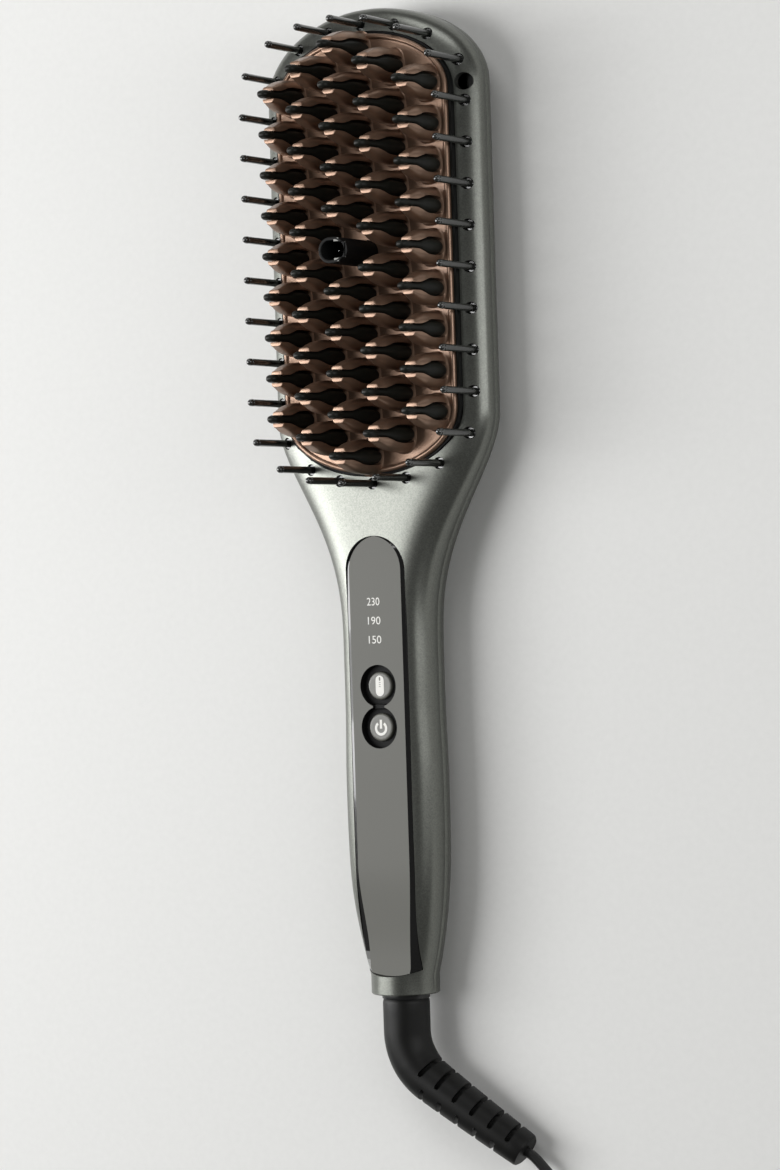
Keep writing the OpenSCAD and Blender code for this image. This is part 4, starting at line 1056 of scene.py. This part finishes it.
def ion_tower():
    def ring(grow, z):
        return [(x, y, z) for x, y in obround(NOZZLE_W + 2 * grow, NOZZLE_L + 2 * grow, PLATE_Y)]
    outer = [ring(1.2, SPREADER_TOP), ring(1.2, PLATE_UNDER - 0.1), ring(0, PLATE_UNDER - 0.1),
             ring(0, NOZZLE_TOP - 0.3), ring(-0.09, NOZZLE_TOP - 0.09), ring(-0.3, NOZZLE_TOP)]
    inner = [ring(-0.7, NOZZLE_TOP), ring(-0.92, NOZZLE_TOP - 0.1), ring(-1, NOZZLE_TOP - 0.35),
             ring(-1, PLATE_Z + 2.5)]
    tower = mesh_object("ion_tower", *loft(outer + inner), SILICONE)
    notch = prism("notch", rectangle(2, 8, PLATE_Y - 2.25, PLATE_Y + 2.25), NOZZLE_TOP - 1.4, NOZZLE_TOP + 1)
    needle = prism("needle_hole", circle(0, PLATE_Y, 0.45, 20), SPREADER_TOP - 1, PLATE_Z + 4)
    cut(tower, [notch, needle])
    marks = []
    # thin pale marks that paint highlights on the rim and along the notch's edge
    for x, y, w, d, z in PAINTED_HIGHLIGHTS:
        outline = rectangle(x, x + w, PLATE_Y + y, PLATE_Y + y + d)
        marks.append(prism("mark", outline, NOZZLE_TOP - z - 0.2, NOZZLE_TOP - z - 0.02, HIGHLIGHT_GREY))
    return joined("ion_tower", [tower] + marks)


settle(ion_tower(), "root", "black_plastic", "ion_nozzle")


# %% [markdown]
# ## The control panel
# A long dark panel fills a keyhole-shaped opening in the handle. Its flat face is smoke-grey
# lacquer and the slanted border is polished black. Two buttons sit in a figure-8 recess with a
# low ridge between them. The face and the border are told apart by the tilt of their faces.

# %% The panel's body
TEMP_Y = POWER_Y + BUTTON_GAP
CRISP = math.radians(9)                    # keeps the flat face flat up to its edge


def panel_row(y):
    w, face = panel_half(y), PANEL_Z - FOOT_SINK * foot_mix(y)
    edge = min(face - 0.6, front_skin_z(w, y))
    flat = w - min(w * 0.7, PANEL_BORDER + FOOT_BORDER * foot_mix(y))
    low = panel_floor(y)
    side = [(w, low), (w, edge - 0.06), (lerp(w, flat, 0.08), lerp(edge, face, 0.08)), (flat, face)]
    return [(x, y, z) for x, z in side] + [(-x, y, z) for x, z in side[::-1]]


def control_panel():
    rows = [panel_row(y) for y in panel_stations()]
    panel = mesh_object("control_panel_body", *loft(rows), PANEL_GLOSS, CRISP)
    rounds = [foot_cutter("foot", 0)]
    for y in (POWER_Y, TEMP_Y):
        recess, hole = circle(0, y, RECESS_D / 2, 64), circle(0, y, BUTTON_D / 2 + 0.1, 64)
        rounds.append(prism("recess", recess, PANEL_Z - RECESS_DEPTH, PANEL_Z + 2))
        rounds.append(prism("button_hole", hole, PANEL_UNDER - 4, PANEL_Z + 1))
    middle = POWER_Y + BUTTON_GAP / 2
    rounds.append(prism("bridge", rectangle(-2, 2, middle - 2, middle + 2),
                        PANEL_Z - RECESS_DEPTH + 0.6, PANEL_Z + 2))
    bore = mesh_object("ring_bore", *turned([(0, -1), (5, -1), (5, 19.4), (0, 19.4)], (0, 0, PART_Z), "Y"))
    cut(panel, rounds + [bore], CRISP)
    ridge = prism("ridge", obround(4.2, 1.5, middle), PANEL_Z - RECESS_DEPTH - 0.1, PANEL_Z - 0.75)
    soften(ridge, 0.3)
    return joined("control_panel_body", [panel, ridge], CRISP)


panel = control_panel()
panel.data.materials.append(PANEL_FACE)
panel.data.materials.append(SILICONE)
for face in panel.data.polygons:
    x, y, z = face.center.x / MM, (face.center.y - COLLAR_Y) / MM, face.center.z / MM
    if face.normal.z > 0.9 and z > PANEL_Z - FOOT_SINK * foot_mix(y) - 0.05:
        face.material_index = 1
    elif min(math.hypot(x, y - POWER_Y), math.hypot(x, y - TEMP_Y)) < RECESS_D / 2 + 0.2:
        face.material_index = 2
settle(panel, "root", "panel_gloss", "control_panel")


# %% [markdown]
# ## Buttons and symbols
# Each button is a turned cap with a rounded rim, and its symbol is a thin raised print: a
# thermometer capsule for the heat and a plain power sign. Prints ride with their button. The
# three plain numbers above them are text made into a mesh, as thin as the prints.

# %% Buttons
PRINT_T = 0.05
BUTTON_TOP = PANEL_Z - BUTTON_SINK


def button_cap(name, y):
    r, under = BUTTON_D / 2, PANEL_UNDER - 0.1
    profile = [(0, under - 1), (1.2, under - 1), (1.2, under - 0.8), (r + 0.8, under - 0.8),
               (r + 0.8, under), (r, under), (r, BUTTON_TOP - 0.55)]
    profile += [(r - 0.45 * (1 - math.cos(a)), BUTTON_TOP - 0.55 + 0.5 * math.sin(a))
                for a in (math.radians(d) for d in (20, 40, 60, 80))]
    profile += [(r - 0.8, BUTTON_TOP - 0.03), (r - 1.3, BUTTON_TOP - PRINT_T), (0, BUTTON_TOP - PRINT_T)]
    return mesh_object(name, *turned(profile, (0, y, 0), steps=64), BUTTON_LACQUER, math.radians(45))


def ribbon(centre, width, closed=False):
    """A flat band along a line of points, as an outline."""
    n = len(centre)
    sides = []
    for k, (x, y) in enumerate(centre):
        ax, ay = centre[k - 1] if closed or k else centre[0]
        bx, by = centre[(k + 1) % n] if closed or k < n - 1 else centre[-1]
        size = math.hypot(bx - ax, by - ay)
        sides.append(((by - ay) / size * width / 2, (ax - bx) / size * width / 2))
    right = [(x + u, y + v) for (x, y), (u, v) in zip(centre, sides)]
    left = [(x - u, y - v) for (x, y), (u, v) in zip(centre, sides)]
    return right, left


def print_band(name, centre, width, z, closed=False):
    right, left = ribbon(centre, width, closed)
    if not closed:
        return prism(name, right + left[::-1], z - PRINT_T, z, SYMBOL_WHITE)
    n = len(right)
    points = [(x, y, h) for h in (z - PRINT_T, z) for ring in (right, left) for x, y in ring]
    faces = []
    for k in range(n):
        m = (k + 1) % n
        faces += [(k, m, n + m, n + k), (2 * n + k, 3 * n + k, 3 * n + m, 2 * n + m),
                  (k, 2 * n + k, 2 * n + m, m), (n + k, n + m, 3 * n + m, 3 * n + k)]
    return mesh_object(name, points, faces, SYMBOL_WHITE)


def power_symbol(y):
    arc = [(1.72 * math.cos(a), y - 0.3 + 1.72 * math.sin(a))
           for a in (math.radians(d) for d in range(126, 415, 9))]
    bar = print_band("bar", [(0, y - 0.4), (0, y + 1.0), (0, y + 2.2)], 0.78, BUTTON_TOP)
    return joined("power_symbol", [print_band("arc", arc, 0.78, BUTTON_TOP), bar])


def capsule(w, length, y, steps=12):
    turns = [math.pi * k / steps for k in range(steps + 1)]
    top = [(w / 2 * math.cos(a), length / 2 - w / 2 + w / 2 * math.sin(a)) for a in turns]
    return [(x, y + v) for x, v in top] + [(-x, y - v) for x, v in top]


def heat_symbol(y):
    """A white capsule with a small thermometer left open in it."""
    made = prism("heat_symbol", capsule(2.8, 6, y), BUTTON_TOP - PRINT_T, BUTTON_TOP, SYMBOL_WHITE)
    bulb = print_band("bulb", circle(0, y - 1.5, 0.7, 24), 0.22, BUTTON_TOP + 0.2, True)
    stem = prism("stem", capsule(0.5, 1.1, y + 2), BUTTON_TOP - 1, BUTTON_TOP + 1)
    marks = [prism("mark", rectangle(-0.32, 0.32, y + v, y + v + 0.16), BUTTON_TOP - 1, BUTTON_TOP + 1)
             for v in (-0.3, 0.3, 0.9)]
    return cut(made, [bulb, stem] + marks)


settle(button_cap("power_button_cap", POWER_Y), "power_button", "panel_gloss", "power_button")
settle(button_cap("temp_button_cap", TEMP_Y), "temp_button", "panel_gloss", "temp_button")
settle(power_symbol(POWER_Y), "power_button", "clear_plastic")
settle(heat_symbol(TEMP_Y), "temp_button", "clear_plastic")


# %% Numbers
def number(text, x, y, height=2.25, width=4.3):
    data = bpy.data.curves.new("number", "FONT")
    data.body = text
    data.extrude = PRINT_T / 2 * MM
    made = linked("number", data)
    data.size = 1
    bpy.context.view_layer.update()
    mesh = bpy.data.meshes.new_from_object(made.evaluated_get(bpy.context.evaluated_depsgraph_get()))
    bpy.data.objects.remove(made)
    low = [min(v.co[k] for v in mesh.vertices) for k in range(3)]
    high = [max(v.co[k] for v in mesh.vertices) for k in range(3)]
    base = place((x, y, PANEL_Z + 0.01))
    for v in mesh.vertices:
        u = [(v.co[k] - low[k]) / (high[k] - low[k]) - 0.5 for k in range(3)]
        v.co = base + Vector((u[0] * width, u[1] * height, u[2] * PRINT_T)) * MM
    mesh.materials.append(SYMBOL_WHITE)
    made = linked("number_" + text, mesh)
    tidy(made)
    return made


numbers = joined("heat_numbers", [number("150", -0.5, 103), number("190", -0.6, 108.5),
                                  number("230", -0.75, 114)])
settle(numbers, "root", "clear_plastic")


# %% [markdown]
# ## The swivel and the boot
# A black ring turns in the collar and carries a long soft boot. The boot runs straight, bends
# to one side and tapers, with flex slots that let it bend without a kink. It is a tube along
# the route's own line, and each slot is a swept cutter that goes almost half way round.

# %% The swivel ring
def swivel_ring():
    r, neck, flange = 7, 5.2 - 0.08, 3.1
    profile = [(1.6, -RING_H), (r - 0.35, -RING_H), (r - 0.1, -RING_H + 0.1), (r, -RING_H + 0.35),
               (r, -0.3), (r - 0.12, -0.14), (r - 0.3, -0.1), (neck, -0.1), (neck, flange), (6.8, flange),
               (6.8, flange + 1.6), (3.95, flange + 1.6), (3.95, 18.4), (1.6, 18.4), (1.6, -RING_H)]
    points, faces = turned(profile, (0, 0, PART_Z), "Y", 72)
    return mesh_object("swivel_ring", points, faces, ABS_BLACK)


settle(swivel_ring(), "swivel", "black_plastic", "swivel_stem")


# %% The boot
SLOT_COUNT, SLOT_PITCH, SLOT_END, SLOT_W, SLOT_DEPTH, SLOT_SWEEP = 6, 6.3, 5.3, 1.5, 1.9, 156


def boot_radius(s):
    taper = BOOT_STRAIGHT + BOOT_BEND_L * 0.6
    return lerp(BOOT_D, BOOT_END_D, clamp01((s - taper) / (BOOT_L - taper))) / 2


def frame_at(s):
    """The boot's own directions at a distance s: along it, to its side, and upwards."""
    ahead = (boot_point(s + 0.25) - boot_point(s - 0.25)).normalized()
    side = ahead.cross(Vector((0, 0, 1))).normalized()
    return ahead, side, side.cross(ahead)


def boot_ring(s, r, steps=48):
    _, side, up = frame_at(s)
    centre = boot_point(s)
    return [centre + r * (math.cos(a) * side + math.sin(a) * up)
            for a in (2 * math.pi * (k + 0.5) / steps for k in range(steps))]


def slot_cutter(s, side_sign):
    ahead, side, up = frame_at(s)
    centre, r = boot_point(s), boot_radius(s)
    rings = []
    for k in range(25):
        a = math.radians(lerp(-SLOT_SWEEP / 2, SLOT_SWEEP / 2, k / 24))
        out = math.cos(a) * side * side_sign + math.sin(a) * up
        half = SLOT_W / 2 * (0.55 if k in (0, 24) else 1)
        rings.append([centre + out * q + ahead * w for q, w in
                      ((r - SLOT_DEPTH, -half), (r + 2, -half), (r + 2, half), (r - SLOT_DEPTH, half))])
    return mesh_object("slot", *loft(rings))


def cord_boot():
    stops = [0.0, 0.5, 1.2] + [BOOT_STRAIGHT * i / 5 for i in range(2, 6)]
    stops += [BOOT_STRAIGHT + BOOT_BEND_L * i / 20 for i in range(1, 21)]
    stops += [BOOT_L - BOOT_RUN + (BOOT_RUN - 1) * i / 12 for i in range(1, 13)]
    rings = [boot_ring(s, boot_radius(s) - (0.35 if s == 0 else 0.1 if s == 0.5 else 0)) for s in stops]
    end_r = boot_radius(BOOT_L)
    rings += [boot_ring(BOOT_L - 0.4, end_r - 0.15), boot_ring(BOOT_L, end_r - 0.7)]
    boot = mesh_object("boot", *loft(rings), BOOT_RUBBER)
    slots = []
    for sign in (1, -1):
        shift = 0 if sign > 0 else 0.5
        for i in range(SLOT_COUNT - (1 if shift else 0)):
            s = BOOT_L - SLOT_END - (SLOT_COUNT - 1 - i - shift) * SLOT_PITCH
            slots.append(slot_cutter(s, -sign))
    return cut(boot, slots)


boot = settle(cord_boot(), "swivel", "boot_rubber", "cord_boot")


# %% [markdown]
# ## The plug and the tie
# At the cord's far end is a flat moulded plug with two round pins, half sleeved in black. A
# rubber band holds the coil. Both lie just outside the picture, next to the boot.

# %% The plug
PLUG_W, PLUG_T, PLUG_REAR, PIN_GAP = 35, 13.7, 7, 19


def plug_ring(t, shrink=0.0, steps=48):
    s = smooth(t * 1.6)
    w = lerp(PLUG_REAR, PLUG_W, s) / 2 - shrink
    h = lerp(PLUG_REAR, PLUG_T, smooth(t * 2.4)) / 2 - shrink
    e = lerp(2, 4, s)
    z = lerp(PLUG_REAR_Z, PLUG_Z, smooth(t * 2.4))
    return [(PLUG_X - t * PLUG_L, PLUG_Y + u, z + v) for u, v, _ in section(w, h, 0, e, steps)]


def plug_body():
    rings = [plug_ring(0, 0.5), plug_ring(0.012)]
    for i in range(1, 25):
        t = i / 25 * 0.95 + 0.012
        groove = 0.45 if 0.3 < t < 0.75 and i % 3 == 0 else 0
        rings.append(plug_ring(t, groove))
    rings += [plug_ring(0.985, 0.15), plug_ring(1, 0.6)]
    return mesh_object("plug", *loft(rings), CORD_PVC)


def plug_pins():
    sleeve_l = 8.9
    bare = [(0, sleeve_l), (1.95, sleeve_l), (1.95, 17.6), (1.7, 18.6), (1.2, 19.4), (0.6, 19.9), (0, 20)]
    sleeve = [(0, 0), (2, 0), (2, sleeve_l), (0, sleeve_l)]
    parts = []
    for s in (-1, 1):
        for name, profile, material in (("bare", bare, NICKEL), ("sleeve", sleeve, ABS_BLACK)):
            points, faces = turned(profile, (0, 0, 0), steps=36)
            spun = [(PLUG_X - PLUG_L - h, PLUG_Y + s * PIN_GAP / 2 + u, PLUG_Z + v) for u, v, h in points]
            parts.append(mesh_object(name, spun, faces, material))
    return joined("plug_pin_pair", parts)


plug = settle(plug_body(), "swivel", "cord_sheath", "plug_body")
pins = settle(plug_pins(), "swivel", "steel", "plug_pins")


# %% The tie round the coil
def coil_tie():
    bore = COIL_R - COIL_PITCH * COIL_TURNS - CORD_D / 2 - 0.3
    x0 = COIL_X - COIL_R - CORD_D / 2 - 0.3
    x1 = COIL_X - math.sqrt(bore * bore - 9)
    z0, z1, t = 0.8, COIL_Z + (COIL_LAYERS - 1) * COIL_PITCH + CORD_D / 2 + 0.3, 0.7

    def loop(grow, y):
        r, corners = 1.1 + grow, []
        for cx, cz, start in ((x1 - 1.1, z1 - 1.1, 0), (x0 + 1.1, z1 - 1.1, 90),
                              (x0 + 1.1, z0 + 1.1, 180), (x1 - 1.1, z0 + 1.1, 270)):
            for k in range(7):
                a = math.radians(start + 15 * k)
                corners.append((cx + r * math.cos(a), COIL_Y + y, cz + r * math.sin(a)))
        return corners

    rings = [loop(0, -2.8), loop(t, -2.8), loop(t, 2.8), loop(0, 2.8)]
    n = len(rings[0])
    points = [p for ring in rings for p in ring]
    faces = [(j * n + i, j * n + (i + 1) % n, (j + 1) % 4 * n + (i + 1) % n, (j + 1) % 4 * n + i)
             for j in range(4) for i in range(n)]
    return soften(mesh_object("coil_band", points, faces, BOOT_RUBBER), 0.15)


tie = settle(coil_tie(), "swivel", "boot_rubber", "coil_tie")


# %% [markdown]
# ## Screws in the back
# Six cross-head screws hold the shells together, deep in their bores. Each is a turned pan head
# with a cross cut into it. Geometry Nodes sets them on their spots, as with the pins.

# %% Shell screws
def screw_unit():
    r = SCREW_HEAD_R
    low, seat = SCREW_SEAT - 1.6, SCREW_SEAT
    profile = [(0, low), (r - 0.7, low + 0.02), (r - 0.25, low + 0.2), (r - 0.04, low + 0.55), (r, low + 0.8),
               (r, seat), (0.85, seat), (0.85, seat + 6.4), (0, seat + 6.4)]
    screw = mesh_object("shell_screw", *turned(profile, (0, 0, 0), steps=32), STEEL)
    cross = []
    for w, length in ((0.5, 2.3), (2.3, 0.5)):
        outline = rectangle(-w / 2, w / 2, -length / 2, length / 2)
        cross.append(prism("cross", outline, low - 0.5, low + 0.9))
    return cut(screw, cross)


def spots_tree():
    """One unit on each of the spots."""
    tree, given = new_tree("units_on_spots", Spots="Object", Unit="Object", Finish="Material")
    spots, unit = (geometry_of(tree, given[key]) for key in ("Spots", "Unit"))
    copies = add(tree, "GeometryNodeInstanceOnPoints", {"Points": spots, "Instance": unit})
    return close_tree(tree, copies.outputs["Instances"], given["Finish"])


def shell_screws():
    mesh = bpy.data.meshes.new("screw_spots")
    mesh.from_pydata([(x * MM, y * MM, 0) for x, y in shell_screw_spots], [], [])
    spots = linked("screw_spots", mesh)
    unit = screw_unit()
    made = grown("shell_screw_set", spots_tree(), {"Spots": spots, "Unit": unit, "Finish": STEEL})
    for used in (spots, unit):
        bpy.data.objects.remove(used)
    return made


settle(shell_screws(), "root", "steel", "shell_screws")


# %% [markdown]
# ## Parts inside
# The heater, boards and leads keep the shapes of the construction model and get the finish of
# what they are made of. Most are hidden by the shells, and show when the model is taken apart.

# %% Finishes of the parts inside
inside = {"plate_gasket": SILICONE, "pin_ring": ABS_BLACK, "emitter_needle": STEEL,
          "heater_strips": ALUMINA, "heat_spreader": ALUMINIUM, "mica_sheet": MICA,
          "heater_cradle": HEAT_NYLON, "cradle_screws": STEEL, "thermistor": COMPONENT,
          "thermal_fuse": ALUMINIUM, "ion_module": COMPONENT, "control_board": BOARD,
          "board_screws": STEEL, "tact_switches": COMPONENT, "status_lights": SYMBOL_WHITE,
          "light_guide": ACRYLIC, "board_parts": COMPONENT, "heater_leads": LEAD_RED,
          "supply_leads": LEAD_BROWN, "contact_rings": BRASS, "contact_block": HEAT_NYLON,
          "contact_fingers": BRASS}
for name, material in inside.items():
    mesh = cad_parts[name].data
    mesh.materials.clear()
    mesh.materials.append(material)
print(len(inside), "parts inside have their finish")


# %% [markdown]
# ## Floor and light
# The brush lies on a plain pale floor under four soft boxes. One on the -X side and above lights
# the handle and that flank of the head, a low one beside it reaches under the teeth, a narrow
# one on the +X side draws the edge, and one beyond the head lights its end. The world is a dim
# plain grey. Close to the low boxes the floor renders white, which shows in views from the side.

# %% Floor
def studio_floor():
    material, tree, shader = finish("pale_backdrop_paper", Roughness=0.85)
    fine = grain(tree, 2, 4)
    tint(tree, shader, fine.outputs[0], "#e6e6e4", "#ececea")
    mesh = bpy.data.meshes.new("studio_floor")
    corners = [(x, y, -0.0003) for x, y in rectangle(-4, 4, -4, 4)]
    mesh.from_pydata(corners, [], [(0, 1, 2, 3)])
    mesh.materials.append(material)
    floor = linked("studio_floor", mesh)
    return floor


studio_floor()


# %% Lamps and world
def soft_box(name, at, size, power_w, target=(0, 0, 0.01)):
    data = bpy.data.lights.new(name, "AREA")
    data.shape = "RECTANGLE"
    data.size, data.size_y = size
    data.energy = power_w
    lamp = linked(name, data)
    lamp.location = at
    lamp.rotation_euler = (Vector(target) - Vector(at)).to_track_quat("-Z", "Y").to_euler()
    return lamp


soft_box("box_left", (-0.8, 0.0, 0.9), (0.5, 1.2), 12)
soft_box("box_right", (0.95, 0.1, 0.45), (0.2, 1.0), 3)
soft_box("box_low", (-1.1, 0.0, 0.25), (0.3, 1.2), 5)
soft_box("box_head", (0.0, 1.1, 0.9), (0.9, 0.4), 4)

world = bpy.data.worlds.new("studio")
world.use_nodes = True
bpy.context.scene.world = world
air = world.node_tree
air.nodes.clear()
glow = add(air, "ShaderNodeBackground", {"Color": linear("#b8b8b6"), "Strength": 0.24})
add(air, "ShaderNodeOutputWorld", {"Surface": glow.outputs["Background"]})
bpy.context.scene.view_settings.view_transform = "Standard"
print("four soft boxes and a plain world")
